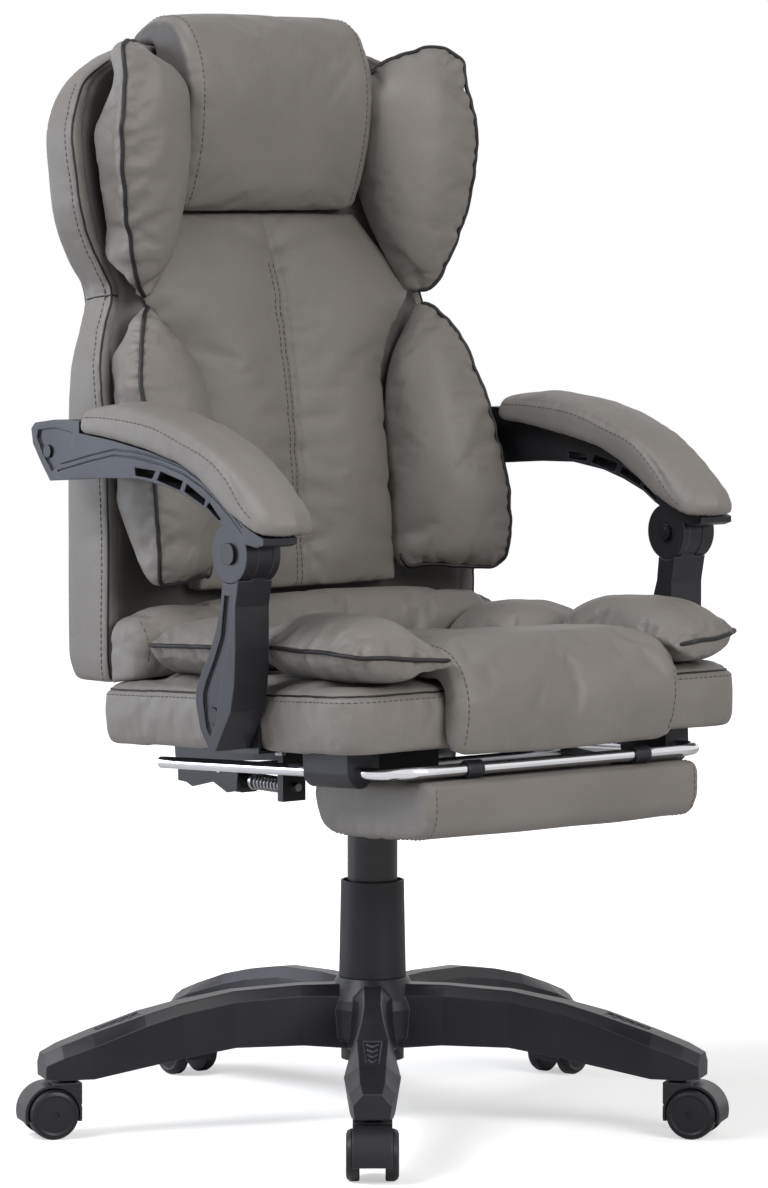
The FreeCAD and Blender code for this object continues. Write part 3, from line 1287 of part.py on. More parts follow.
def pillow(rows, side, hug_end):
    """A piped cushion from its lower to its upper tip, whose back edge lies on the shell's lip."""
    wires = []
    low, high, steps = rows[0][0], rows[-1][0], 16
    for step in range(steps + 1):
        z = low + (high - low) * (0.5 - 0.5 * math.cos(math.pi * step / steps)) ** 0.8
        row = flow(rows, z)
        for column in (0, 2, 4, 6):
            row[column] = BACK_HALF - row[column]
        inner, outer = V(side * row[0], row[1], z), V(side * row[2], row[3], z)
        half, lip = shell_at(max(0, min(1, (z - above("back_bottom")) / mm("back_tall"))))[:2]
        hug = max(0, min(1, (z - low - 12) / 25, (hug_end - z) / 18))
        back_x = row[4] + (half - 9 - row[4]) * hug
        back_y = row[5] + (lip - mm("soft_gap") * 2 - row[5]) * hug - 30 * hug * (1 - hug)
        back, deep = V(side * back_x, back_y, z), V(side * row[6], row[7], z)
        wires.append(Part.Wire([
            arc(inner, (inner + outer) * 0.5 - V(0, row[8], 0), outer),
            arc(outer, (outer + back) * 0.5 + V(side * 3, 0, 0), back), line(back, deep),
            arc(deep, (deep + inner) * 0.5 - V(side * 3, 0, 0), inner),
        ]))
    return loft(wires)


def headrest():
    """The head roll: from the head's lower edge up and over the top of the shell."""
    low, high = HEAD_LOW, SHELL_TOP + mm("head_high")
    top_z = SHELL_TOP + 0.5

    def section(x, inset):
        spots = [
            V(x, 190, low + inset), V(x, 173 + inset, low + 4 + inset), V(x, 143 + inset, low + (high - low) * 0.536),
            V(x, 160 + inset, high - 20 - inset), V(x, 196, high - inset), V(x, 245 - inset, high - 9 - inset),
            V(x, 262 - inset, top_z + 0.5), V(x, 212, top_z + 0.5), V(x, 212, top_z - 30),
        ]
        return smooth_wire(spots, [0, 6, 7, 6, 4, 3, 0, 0, 0])

    half = mm("head_half")
    return loft([section(x, inset) for x, inset in
                 [(-half, 9), (-half + 5, 3), (-half + 16, 0), (0, -1), (half - 16, 0), (half - 5, 3),
                  (half, 9)]], True)


ahead = V(0, -1, 0)
wings, lumbars = {}, {}
for sign in (1, -1):
    wings[sign] = pillow(WING, sign, WING[-1][0] - 56)
    lumbars[sign] = pillow(LUMBAR, sign, LUMBAR[-1][0] - 24)
head = carved(headrest(), [back_shell, back_board], ahead)
centre_channels = carved(centre_back(), [back_shell, back_board], ahead)
for sign in (1, -1):
    head = carved(head, [wings[sign]], V(-sign, 0, 0))
    centre_channels = carved(centre_channels, [wings[sign], lumbars[sign]], V(-sign, 1, 0))
centre_channels = carved(centre_channels, [head], V(0, 0, -1))
feature("back_centre_pad", centre_channels)
feature("headrest", head)
for side, sign in (("left", 1), ("right", -1)):
    feature(f"wing_cushion_{side}", wings[sign])
    feature(f"lumbar_cushion_{side}", lumbars[sign])

anchor = along_x(ANCHOR_IN, ANCHOR_OUT, *REAR, 17)
anchor = anchor.cut(along_x(ANCHOR_IN - 1, ANCHOR_OUT + 1, *REAR, mm("arm_pin") + 0.4))
feature("arm_anchors", Part.makeCompound([anchor, mirrored(anchor)]))

doc.recompute()

# The row's origin is on the floor, under the middle of the whole chair's box.
middle = FreeCAD.Placement(V(-mm("middle_x"), -mm("middle_y"), 0), FreeCAD.Rotation())
for piece in NODES:
    piece.Placement = middle.multiply(piece.Placement)
doc.recompute()
faults = [piece.Name for piece in doc.Objects if {"Invalid", "Error"} & set(piece.State)]
for piece in NODES:
    if piece.Shape.isNull() or not piece.Shape.isValid():
        faults.append(piece.Label)
if faults:
    raise RuntimeError("not sound: " + ", ".join(faults))
os.makedirs("parts", exist_ok=True)
for piece in NODES:
    piece.Shape.exportStep(f"parts/{piece.Label}.step")
print(len(NODES), "sub-parts written")
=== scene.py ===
# %% [markdown]
# # Dressing a reclining office chair
# The frame comes from CAD: steel, nylon, gas lift, castors and plain solids for the foam. This lesson
# puts the looks on it: puffed leather, piping, stitches, moulded nylon and chrome. We load the frame
# first. The gas column's foot is the point that the tables of lines further on are measured from.

# %% Load the frame
import json
import math

import bmesh
import bpy
import numpy as np
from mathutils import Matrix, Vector
from mathutils.bvhtree import BVHTree


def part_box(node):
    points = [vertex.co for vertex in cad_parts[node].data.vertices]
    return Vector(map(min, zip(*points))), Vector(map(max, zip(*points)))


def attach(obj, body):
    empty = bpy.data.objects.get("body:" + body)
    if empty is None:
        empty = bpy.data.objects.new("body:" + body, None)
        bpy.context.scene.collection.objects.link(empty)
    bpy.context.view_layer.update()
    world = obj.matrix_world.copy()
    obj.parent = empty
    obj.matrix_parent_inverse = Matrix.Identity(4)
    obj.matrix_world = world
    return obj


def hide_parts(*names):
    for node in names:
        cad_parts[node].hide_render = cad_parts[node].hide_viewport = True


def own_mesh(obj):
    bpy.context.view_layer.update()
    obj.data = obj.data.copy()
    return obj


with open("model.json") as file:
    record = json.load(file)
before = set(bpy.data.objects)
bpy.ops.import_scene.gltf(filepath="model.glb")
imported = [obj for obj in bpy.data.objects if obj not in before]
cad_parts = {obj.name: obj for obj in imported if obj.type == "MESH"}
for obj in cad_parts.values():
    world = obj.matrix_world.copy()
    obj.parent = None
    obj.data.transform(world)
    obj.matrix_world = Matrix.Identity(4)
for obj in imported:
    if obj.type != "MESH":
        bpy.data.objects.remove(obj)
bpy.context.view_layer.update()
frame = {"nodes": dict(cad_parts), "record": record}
MM = 0.001
COLUMN = np.array([-0.00303, -0.02513, 0])
nodes = frame["nodes"]

# %% [markdown]
# ## Camera
# The chair stands turned by about 38 degrees, seen by a long lens from a little below eye level.
# We build the camera's axes by hand: forward, right and up, and turn them into a rotation.

# %% Camera
AZIMUTH, PITCH = math.radians(-37.95), math.radians(-4.343)
EYE = Vector((-3.1540, -4.0632, 0.9245)) + Vector(COLUMN)
forward = Vector((-math.sin(AZIMUTH) * math.cos(PITCH), math.cos(AZIMUTH) * math.cos(PITCH), math.sin(PITCH)))
lens = bpy.data.cameras.new("long_lens")
lens.sensor_fit, lens.sensor_height, lens.lens = "VERTICAL", 36, 154.92
camera = bpy.data.objects.new("camera", lens)
camera.location = EYE
camera.rotation_euler = forward.to_track_quat("-Z", "Y").to_euler()
bpy.context.scene.collection.objects.link(camera)
bpy.context.scene.camera = camera
print("camera at", tuple(round(number, 3) for number in camera.location))

# %% [markdown]
# ## Studio
# Three large lamps, two of them on the left, and a pale world give soft, broad highlights, as leather
# needs. The one behind is bluish: it grazes the nylon arms. The background is white to the camera and to
# mirror-like metal alone, so it casts no extra light on the chair.

# %% Lamps
AIM = (0, 0, 0.6)


def lamp(name, place, size, watts, tint):
    """A square area lamp at a place, turned towards the chair's middle."""
    light = bpy.data.lights.new(name, "AREA")
    light.size, light.energy, light.color = size, watts, tint
    thing = bpy.data.objects.new(name, light)
    thing.location = place
    thing.rotation_euler = (Vector(AIM) - Vector(place)).to_track_quat("-Z", "Y").to_euler()
    bpy.context.scene.collection.objects.link(thing)


lamp("side", (-2.9, 0.3, 3.2), 1.7, 120, (0.97, 0.975, 1.0))
lamp("back_left", (-2.7, 3.3, 1.1), 1.8, 55, (0.76, 0.85, 1.0))
lamp("front", (0.3, -4.4, 2.7), 2.4, 132, (1.0, 0.985, 0.965))
bpy.context.scene.view_settings.view_transform = "Standard"
print("three lamps")


# %% [markdown]
# ## Shader maths in Python
# A node tree is easier to read as a formula. `Value` wraps a socket, and its operators add Math nodes.
# `Finish.add` makes any other node from its type, its settings and its inputs.

# %% A socket that can be reckoned with
class Value:
    """A shader socket: a + b, a * b, a - b and a ** b on it add Math nodes."""

    def __init__(self, finish, socket):
        self.finish, self.socket = finish, socket

    def reckon(self, operation, *terms):
        return self.finish.add("ShaderNodeMath", {"operation": operation}, dict(enumerate(terms)))

    def __add__(self, other):
        return self.reckon("ADD", self, other)

    def __sub__(self, other):
        return self.reckon("SUBTRACT", self, other)

    def __rsub__(self, other):
        return self.reckon("SUBTRACT", other, self)

    def __mul__(self, other):
        return self.reckon("MULTIPLY", self, other)

    def __pow__(self, other):
        return self.reckon("POWER", self, other)

    __radd__, __rmul__ = __add__, __mul__

    def between(self, low, high):
        """0 below low, 1 above high, and a smooth step from one to the other."""
        inputs = {"Value": self, "From Min": low, "From Max": high}
        return self.finish.add("ShaderNodeMapRange", {"interpolation_type": "SMOOTHSTEP"}, inputs)


class Finish:
    """A material under construction, with its surface shader and its object coordinates."""

    def __init__(self, name):
        self.material = bpy.data.materials.new(name)
        self.material.use_nodes = True
        self.tree = self.material.node_tree
        self.surface = self.tree.nodes["Principled BSDF"]
        self.place = self.add("ShaderNodeTexCoord", {}, {}, "Object")

    def add(self, kind, settings, inputs, output=0):
        """A node of any type: settings first, then values or links for its sockets."""
        node = self.tree.nodes.new(kind)
        for key, value in settings.items():
            setattr(node, key, value)
        for key, value in inputs.items():
            self.feed(node.inputs[key], value)
        return Value(self, node.outputs[output])

    def feed(self, socket, value):
        """Links a Value to the socket, or writes a plain number or colour into it."""
        if isinstance(value, Value):
            self.tree.links.new(value.socket, socket)
        else:
            socket.default_value = value

    def noise(self, scale, detail=2.0, roughness=0.5, distortion=0.0):
        """Cloudy noise, 0 to 1, with so many waves to the metre."""
        inputs = {"Vector": self.place, "Scale": scale, "Detail": detail, "Roughness": roughness,
                  "Distortion": distortion}
        return self.add("ShaderNodeTexNoise", {}, inputs, "Fac")

    def cells(self, scale, feature="F1", smooth=None):
        """The distance to the nearest of a cloud of points: 0 in the middle of each cell."""
        inputs = {"Vector": self.place, "Scale": scale}
        if smooth is not None:
            inputs["Smoothness"] = smooth
        return self.add("ShaderNodeTexVoronoi", {"feature": feature}, inputs, "Distance")

    def mix(self, share, first, second):
        """One colour turning into another as the share goes from 0 to 1."""
        node = self.tree.nodes.new("ShaderNodeMix")
        node.data_type = "RGBA"
        self.feed(node.inputs[0], share)
        self.feed(node.inputs[6], first)
        self.feed(node.inputs[7], second)
        return Value(self, node.outputs[2])

    def bump(self, height, strength, distance, normal=None):
        """A normal tilted by the slope of a height, on top of another bump if there is one."""
        inputs = {"Height": height, "Strength": strength, "Distance": distance}
        if normal is not None:
            inputs["Normal"] = normal
        return self.add("ShaderNodeBump", {}, inputs)

    def surface_is(self, **inputs):
        """Values or links for the surface shader, with spaces written as underscores."""
        for key, value in inputs.items():
            self.feed(self.surface.inputs[key.replace("_", " ")], value)
        return self.material


print("shader tools ready")


# %% [markdown]
# ## Leather
# The cover is a warm grey coated leather with a fine pebble grain. Two sizes of cells give the
# pebbles, a slow noise gives light creases, and the colour drifts a little from place to place.

# %% Leather
def rgb(red, green, blue):
    """A colour read from a picture, 0 to 255, as the shader wants it."""
    values = [((part / 255 + 0.055) / 1.055) ** 2.4 for part in (red, green, blue)]
    return (*values, 1)


def leather(name, base, deep, ends=None):
    """Pebbled leather. With ends given, painted shade darkens it beyond that many metres from the chair's middle.
    """
    finish = Finish(name)
    pebbles = finish.cells(620, "SMOOTH_F1", 0.6)
    pores = finish.cells(1500)
    drift = finish.noise(9, 3)
    crease = finish.noise(46, 4, 0.55, 0.8)
    colour = finish.mix(drift.between(0.3, 0.7) * 0.6 + pebbles.between(0.1, 0.6) * 0.25, base, deep)
    if ends:
        apart = finish.add("ShaderNodeSeparateXYZ", {}, {"Vector": finish.place}, "X")
        # Painted shade: beyond that distance the colour turns a darker grey.
        painted_end_shade = ((apart - float(COLUMN[0])) ** 2.0).between(ends ** 2, (ends + 0.004) ** 2)
        colour = finish.mix(painted_end_shade * 0.8, colour, rgb(66, 63, 62))
    soft = finish.bump(crease, 0.22, 0.0012)
    grain = finish.bump(pebbles * 0.7 + pores * 0.3, 0.32, 0.0005, soft)
    rough = 0.44 + finish.noise(60, 2) * 0.10 + pebbles * 0.08
    return finish.surface_is(Base_Color=colour, Roughness=rough, Normal=grain, Specular_IOR_Level=0.36)


hide = leather("grey_leather", rgb(124, 120, 116), rgb(111, 107, 103))
# Painted shade: the lining's leather is darker, for the shade in the hollow behind the pillows.
lining_hide_painted_shade = leather("lining_leather_painted_shade", rgb(80, 77, 75), rgb(68, 65, 63))
# The headrest's end panels get painted shade, from 113.5 mm out.
head_hide = leather("headrest_leather_painted_end_shade", rgb(122, 118, 114), rgb(109, 105, 101), 0.1135)
print("leather:", len(hide.node_tree.nodes), "nodes")

# %% [markdown]
# ## Piping, thread, nylon, rubbery wheels and metals
# Each finish is small: one colour drift, one roughness drift, one bump at the scale of the real one.

# %% Piping and thread
def plain(name, colour, darker, rough, metal=0.0, grain=900, bump=0.2, coat=0.0, soft_edge=0.0, painted_edge_highlight=None):
    """A finish with drifting colour and roughness, a fine bump, and edges rounded by some millimetres.

    The painted edge highlight is a lighter colour mixed in where the rounded normal turns away from the face's own:
    1 - their dot product.
    """
    finish = Finish(name)
    rounded = finish.add("ShaderNodeBevel", {"samples": 6}, {"Radius": soft_edge * MM}) if soft_edge else None
    slow = finish.noise(14, 3)
    fine = finish.noise(grain, 3, 0.6)
    shade = finish.mix(slow.between(0.3, 0.7), colour, darker)
    # Painted highlight: a lighter colour along the rounded edges, standing in for the lamps' glint there.
    if painted_edge_highlight:
        flat = finish.add("ShaderNodeNewGeometry", {}, {}, "True Normal")
        along = finish.add("ShaderNodeVectorMath", {"operation": "DOT_PRODUCT"}, {0: rounded, 1: flat}, "Value")
        shade = finish.mix((1.0 - along).between(0.01, 0.16) * 0.7, shade, painted_edge_highlight)
    gloss = rough + (slow - 0.5) * (rough * 0.3)
    normal = finish.bump(fine, bump, 0.0003, rounded)
    return finish.surface_is(Base_Color=shade, Roughness=gloss, Metallic=metal, Normal=normal, Coat_Weight=coat,
                             Specular_IOR_Level=0.5 if metal else 0.32)


cord_leather = plain("black_piping", rgb(24, 23, 25), rgb(17, 16, 18), 0.5, grain=1400)
thread = plain("grey_thread", rgb(92, 89, 86), rgb(78, 75, 73), 0.75, grain=3000)
print("piping and thread")

# %% Nylon, plastic and metal
# Nylon's edges get a painted highlight in a bluish light grey.
nylon = plain("black_nylon", rgb(34, 34, 39), rgb(28, 28, 33), 0.36, grain=1800, bump=0.28, soft_edge=1.6,
              painted_edge_highlight=rgb(88, 91, 100))
cover_plastic = plain("cover_plastic", rgb(31, 29, 34), rgb(26, 24, 29), 0.5, grain=1500, bump=0.25, soft_edge=1.0)
wheel_dark = plain("wheel_dark", rgb(26, 25, 29), rgb(21, 20, 24), 0.38, grain=900, bump=0.1, soft_edge=1.0)
black_steel = plain("black_steel", rgb(24, 24, 26), rgb(18, 18, 20), 0.36, grain=400, bump=0.12, coat=0.2,
                    soft_edge=0.6)
zinc = plain("zinc", rgb(176, 176, 180), rgb(150, 150, 155), 0.3, metal=1.0, grain=300, bump=0.1)
chrome = plain("chrome", rgb(225, 225, 228), rgb(214, 214, 218), 0.07, metal=1.0, grain=60, bump=0.03)
bush = plain("bush_plastic", rgb(95, 95, 98), rgb(84, 84, 88), 0.45)
print("seven hard finishes")


# %% Plywood
def plywood():
    """Bands of darker late wood: a stretched noise that runs along X."""
    finish = Finish("plywood")
    stretched = finish.add("ShaderNodeMapping", {}, {"Vector": finish.place, "Scale": (3, 60, 60)})
    bands = finish.add("ShaderNodeTexNoise", {}, {"Vector": stretched, "Scale": 2.2, "Detail": 5.0}, "Fac")
    shade = finish.mix(bands.between(0.35, 0.65), rgb(196, 164, 122), rgb(158, 122, 82))
    return finish.surface_is(Base_Color=shade, Roughness=0.7 + bands * 0.1, Normal=finish.bump(bands, 0.3, 0.0004))


ply = plywood()
FINISHES = {
    "upholstery": hide, "black_nylon": nylon, "castor_tread": wheel_dark, "black_steel": black_steel,
    "bright_steel": zinc, "chrome_tube": chrome, "plywood": ply, "bush_plastic": bush,
}
felt = plain("black_felt", rgb(30, 29, 31), rgb(24, 23, 25), 0.9, grain=700, bump=0.4)
SPECIAL = {
    "column_cover": cover_plastic, "seat_board": felt, "pivot_bolts": wheel_dark, "armrest_bolts_left": wheel_dark,
    "armrest_bolts_right": wheel_dark,
}
for entry in frame["record"]["subparts"]:
    mesh = nodes[entry["node"]].data
    mesh.materials.clear()
    mesh.materials.append(SPECIAL.get(entry["node"], FINISHES[entry["material_slot"]]))
print("CAD nodes painted")

# %% [markdown]
# ## Tools for surfaces
# A piece is a grid of points worked out with numpy. These helpers turn points and faces into an
# object, read a mesh back, and relax it. All of them work on whole arrays.

# %% Meshes and arrays
TILT = math.radians(3)
SEAT_UNDERSIDE = 394


def in_seat(points):
    """Millimetres from the gas column in the tilted seat frame, as metres in the chair's frame."""
    points = np.asarray(points, float)
    y = points[:, 1] * math.cos(TILT) + points[:, 2] * math.sin(TILT)
    z = SEAT_UNDERSIDE - points[:, 1] * math.sin(TILT) + points[:, 2] * math.cos(TILT)
    return np.column_stack([points[:, 0], y, z]) * MM + COLUMN


def upright(points):
    """Millimetres from the gas column's foot, as metres in the chair's frame."""
    return np.asarray(points, float) * MM + COLUMN


def flipped(table, sign, drop=0):
    """Rows of x, y, z on the left for sign 1, their mirror image on the right for sign -1."""
    return [(sign * x, y, z - drop) for x, y, z in table]


def both_ends(place, table, across):
    """A line of y and z, set at the same distance across on the left and on the right."""
    return [place(flipped([(across, y, z) for y, z in table], sign)) for sign in (1, -1)]


def smooth_step(value, low, high):
    """0 below low, 1 above high, and 3t^2 - 2t^3 between, where t is the share of the way."""
    share = np.clip((value - low) / (high - low), 0, 1)
    return share * share * (3 - 2 * share)


def piece(name, points, faces, finish, smooth=True):
    """An object at the origin from points and faces, with its doubles merged and its faces turned outward."""
    mesh = bpy.data.meshes.new(name)
    mesh.from_pydata(np.asarray(points).tolist(), [], np.asarray(faces).tolist())
    shape = bmesh.new()
    shape.from_mesh(mesh)
    bmesh.ops.remove_doubles(shape, verts=shape.verts, dist=1e-6)
    bmesh.ops.recalc_face_normals(shape, faces=shape.faces)
    shape.to_mesh(mesh)
    shape.free()
    mesh.materials.append(finish)
    mesh.polygons.foreach_set("use_smooth", [smooth] * len(mesh.polygons))
    thing = bpy.data.objects.new(name, mesh)
    bpy.context.scene.collection.objects.link(thing)
    return thing


def spots(thing):
    """The object's points as an array."""
    mesh = thing.data
    flat = np.empty(len(mesh.vertices) * 3)
    mesh.vertices.foreach_get("co", flat)
    return flat.reshape(-1, 3)


def normals(thing):
    """The directions in which the object's points face, as an array."""
    mesh = thing.data
    flat = np.empty(len(mesh.vertices) * 3)
    mesh.vertex_normals.foreach_get("vector", flat)
    return flat.reshape(-1, 3)


def set_spots(thing, points):
    """Puts an array of points back into the object's mesh."""
    thing.data.vertices.foreach_set("co", np.ascontiguousarray(points, float).ravel())
    thing.data.update()


print("array tools ready")


# %% Copy, remesh and relax
def evaluated(thing):
    """Swaps the object's mesh for what its modifiers make of it."""
    graph = bpy.context.evaluated_depsgraph_get()
    made = bpy.data.meshes.new_from_object(thing.evaluated_get(graph))
    thing.modifiers.clear()
    old = thing.data
    thing.data = made
    bpy.data.meshes.remove(old)


def blank(name, node, voxel, finish, thicken=None):
    """A copy of a CAD solid, its loose triangles merged and remeshed into even small squares.

    A thin wall needs more than one square across it, so thicken may move the points before the remesh.
    """
    source = nodes[node].data
    points = np.empty(len(source.vertices) * 3)
    source.vertices.foreach_get("co", points)
    corners = np.empty(len(source.loops), int)
    source.loops.foreach_get("vertex_index", corners)
    points = points.reshape(-1, 3)
    thing = piece(name, thicken(points) if thicken else points, corners.reshape(-1, 3), finish)
    squares = thing.modifiers.new("squares", "REMESH")
    squares.mode, squares.voxel_size, squares.use_smooth_shade = "VOXEL", voxel * MM, True
    evaluated(thing)
    thing.data.materials.clear()
    thing.data.materials.append(finish)
    return thing


def relax(thing, rounds, share=0.5):
    """Each round moves a point a share of the way to the middle of its neighbours."""
    mesh, points = thing.data, spots(thing)
    edges = np.empty(len(mesh.edges) * 2, int)
    mesh.edges.foreach_get("vertices", edges)
    first, second = edges[0::2], edges[1::2]
    count = np.bincount(edges, minlength=len(points))[:, None]
    for _ in range(rounds):
        total = np.column_stack([
            np.bincount(first, points[second, axis], len(points))
            + np.bincount(second, points[first, axis], len(points)) for axis in range(3)
        ])
        points = points + share * (total / count - points)
    set_spots(thing, points)


print("remesh tools ready")

# %% [markdown]
# ## Seams and gathers
# Leather gathers where a curved panel is sewn to a shorter edge: short creases run away from the seam,
# deep at the stitches and gone a few centimetres on. For each point we find how far it is from the seam
# and where along it. Then every crease is a narrow dent that widens as it runs out.

# %% Lines on the chair
def dense(path, step=2.0):
    """A polyline in metres as evenly spaced points on a smooth curve through its corners."""
    path = np.asarray(path, float)
    ahead = np.vstack([path[:1] * 2 - path[1:2], path, path[-1:] * 2 - path[-2:-1]])
    share = np.linspace(0, 1, 24, endpoint=False)[:, None]
    rows = []
    for a, b, c, d in zip(ahead, ahead[1:], ahead[2:], ahead[3:]):
        before, here, after = (np.linalg.norm(end - start) for start, end in ((a, b), (b, c), (c, d)))
        leave, arrive = (c - a) * here / (before + here), (d - b) * here / (here + after)
        bend = 3 * share ** 2 - 2 * share ** 3
        straight = b * (1 - bend) + c * bend
        rows.append(straight + leave * share * (1 - share) ** 2 - arrive * share ** 2 * (1 - share))
    curve = np.vstack(rows + [path[-1:]])
    length = np.concatenate([[0], np.cumsum(np.linalg.norm(np.diff(curve, axis=0), axis=1))])
    even = np.arange(0, length[-1], step * MM)
    return np.column_stack([np.interp(even, length, curve[:, axis]) for axis in range(3)])


def wobble(path, seed, amount=1.6):
    """A path as a dense line that wanders sideways: three sine waves along its length in each direction."""
    line = dense(path)
    along = np.arange(len(line)) * 2.0
    draw = np.random.default_rng(seed)
    waves = 2 * math.pi / draw.uniform(38, 95, (3, 3))
    offsets = np.sin(along[:, None, None] * waves[None] + draw.uniform(0, 6.3, (3, 3))[None]).sum(axis=2) / 3
    fade = np.minimum(1, np.minimum(along, along[::-1]) / 30)[:, None]
    return line + offsets * fade * amount * MM


def beside(points, line):
    """For each point: its distance to the line, and how far along the line its nearest point is."""
    along = np.concatenate([[0], np.cumsum(np.linalg.norm(np.diff(line, axis=0), axis=1))])
    far, where = np.empty(len(points)), np.empty(len(points))
    for start in range(0, len(points), 4000):
        block = points[start:start + 4000]
        gaps = np.linalg.norm(block[:, None] - line[None], axis=2)
        best = gaps.argmin(axis=1)
        far[start:start + 4000] = gaps[np.arange(len(block)), best]
        where[start:start + 4000] = along[best]
    return far, where


def gathers(points, line, seed, depth, reach, pitch=17.0, width=2.6):
    """How deep the creases of one seam dent each point: a sum of widening bell curves along the seam."""
    far, where = beside(points, line)
    near = far < reach * 3 * MM
    draw = np.random.default_rng(seed)
    length = np.linalg.norm(np.diff(line, axis=0), axis=1).sum()
    count = max(2, int(length / (pitch * MM)))
    middle = (np.arange(count) + draw.uniform(0.1, 0.9, count)) * length / count
    strength = draw.uniform(0.25, 1.0, count)
    run = draw.uniform(0.5, 1.4, count) * reach * MM
    slant = draw.normal(0, 0.28, count)
    far_near, where_near = far[near][:, None], where[near][:, None]
    spread = width * MM + 0.16 * far_near
    bells = np.exp(-((where_near - middle - slant * far_near) / spread) ** 2)
    fade = np.exp(-(far_near / run) ** 2)
    dent = np.zeros(len(points))
    dent[near] = depth * MM * (strength * bells * fade).sum(axis=1)
    return dent


def groove(points, line, depth, width):
    """A sewn channel: a bell-shaped dent across the line."""
    far, _ = beside(points, line)
    return depth * MM * np.exp(-(far / (width * MM)) ** 2)


def swell(points, seed, size, height):
    """Slow soft unevenness: a few plane waves in fixed random directions."""
    draw = np.random.default_rng(seed)
    ways = draw.normal(size=(9, 3))
    ways /= np.linalg.norm(ways, axis=1)[:, None]
    waves = np.sin(points @ (ways.T * (2 * math.pi / (size * MM))) + draw.uniform(0, 6.3, 9))
    return height * MM * waves.mean(axis=1) * 1.6


def dent_in(thing, amount):
    """Moves each point inward, against its normal, by its amount."""
    set_spots(thing, spots(thing) - normals(thing) * amount[:, None])


print("seam tools ready")


# %% [markdown]
# ## Puffing by cloth simulation
# Foam pushes the cover outward while the seams hold it. Cloth does the same: inside pressure, seams
# pinned, and fabric a few percent too long, so it wrinkles towards its pins. Its moves are capped so
# that no piece leaves its place.

# %% What holds the cloth
def at_seam(far, most=1.5):
    """1 at a seam, 0 from some 9 mm off it: most - far / 6 mm, clipped."""
    return np.clip(most - far / 0.006, 0, 1)


def at_ends(points, reach, soft):
    """0 up to a reach in metres to either side of the column, 1 from a little further on."""
    return np.clip((np.abs(points[:, 0] - COLUMN[0]) - reach) / soft, 0, 1)


def facing_back(ways, start, slope):
    """1 where the surface faces the rear, 0 where the normal's y is below the start."""
    return np.clip((ways[:, 1] - start) * slope, 0, 1)


def facing_down(ways, start, slope=5):
    """1 where the surface faces the floor, 0 where the normal's -z is below the start."""
    return np.clip(-(ways[:, 2] + start) * slope, 0, 1)


# %% Cloth
def puff(thing, held, pressure=4.0, spare=0.04, cap=8.0, frames=18):
    """Pressure from inside on a mesh whose held points (0 to 1) stay where they are."""
    group = thing.vertex_groups.new(name="held")
    for index in np.flatnonzero(held > 0.02):
        group.add([int(index)], float(held[index]), "REPLACE")
    before = spots(thing)
    cloth = thing.modifiers.new("cloth", "CLOTH")
    rules = cloth.settings
    rules.quality, rules.mass = 4, 0.25
    rules.tension_stiffness = rules.compression_stiffness = 12
    rules.shear_stiffness, rules.bending_stiffness = 6, 2.0
    rules.use_pressure, rules.uniform_pressure_force = True, pressure
    rules.shrink_min = -spare
    rules.vertex_group_mass = "held"
    rules.effector_weights.gravity = 0
    cloth.collision_settings.use_collision = False
    scene = bpy.context.scene
    for number in range(1, frames + 1):
        scene.frame_set(number)
    graph = bpy.context.evaluated_depsgraph_get()
    made = thing.evaluated_get(graph).to_mesh()
    after = np.empty(len(made.vertices) * 3)
    made.vertices.foreach_get("co", after)
    thing.evaluated_get(graph).to_mesh_clear()
    thing.modifiers.clear()
    thing.vertex_groups.clear()
    scene.frame_set(1)
    move = after.reshape(-1, 3) - before
    reach = np.linalg.norm(move, axis=1)[:, None]
    move *= np.minimum(1, cap * MM / np.maximum(reach, 1e-9))
    set_spots(thing, before + move)
    print(thing.name, "moved by up to %.1f mm" % (reach.max() * 1000))


# %% [markdown]
# ## Piping and stitches
# Piping is a leather-covered cord sewn into a seam. It is a tube swept along the seam, sitting half in
# the crease. Stitches are tiny spindles laid end to end on the surface, so each row is one mesh.

# %% Sweeping a tube
def on_surface(thing, line, lift):
    """The line's points moved to the nearest place on the piece, then out along its normal."""
    tree = BVHTree.FromObject(thing, bpy.context.evaluated_depsgraph_get())
    found = [tree.find_nearest(Vector(point)) for point in line]
    places = np.array([place for place, _, _, _ in found])
    ways = np.array([way for _, way, _, _ in found])
    return places + ways * lift * MM, ways


def evened(line, rounds=3):
    """The line with its small jumps rubbed out."""
    line = line.copy()
    for _ in range(rounds):
        line[1:-1] = line[1:-1] * 0.5 + (line[:-2] + line[2:]) * 0.25
    return line


def tube(name, line, radius, finish, sides=10, ends=True):
    """Rings square to the line, turned as little as possible from one to the next, closed at both ends."""
    ahead = np.gradient(line, axis=0)
    ahead /= np.linalg.norm(ahead, axis=1)[:, None]
    side = np.cross(ahead, [0.31, 0.17, 0.93])
    side /= np.linalg.norm(side, axis=1)[:, None]
    other = np.cross(ahead, side)
    angle = np.linspace(0, 2 * math.pi, sides, endpoint=False)
    thick = np.full(len(line), radius * MM)
    if ends:
        thick[[0, -1]] *= 0.5
    rings = (line[:, None] + thick[:, None, None]
             * (np.cos(angle)[None, :, None] * side[:, None] + np.sin(angle)[None, :, None] * other[:, None]))
    count = len(line)
    index = np.arange(count * sides).reshape(count, sides)
    turned = np.roll(index, -1, axis=1)
    walls = np.stack([index[:-1], turned[:-1], turned[1:], index[1:]], axis=-1).reshape(-1, 4)
    points = np.vstack([rings.reshape(-1, 3), line[:1] - ahead[:1] * radius * 0.3 * MM,
                        line[-1:] + ahead[-1:] * radius * 0.3 * MM])
    tip, end = count * sides, count * sides + 1
    caps = [[int(a), int(b), tip] for a, b in zip(turned[0], index[0])]
    caps += [[int(a), int(b), end] for a, b in zip(index[-1], turned[-1])]
    return mixed(name, points, walls, caps, finish)


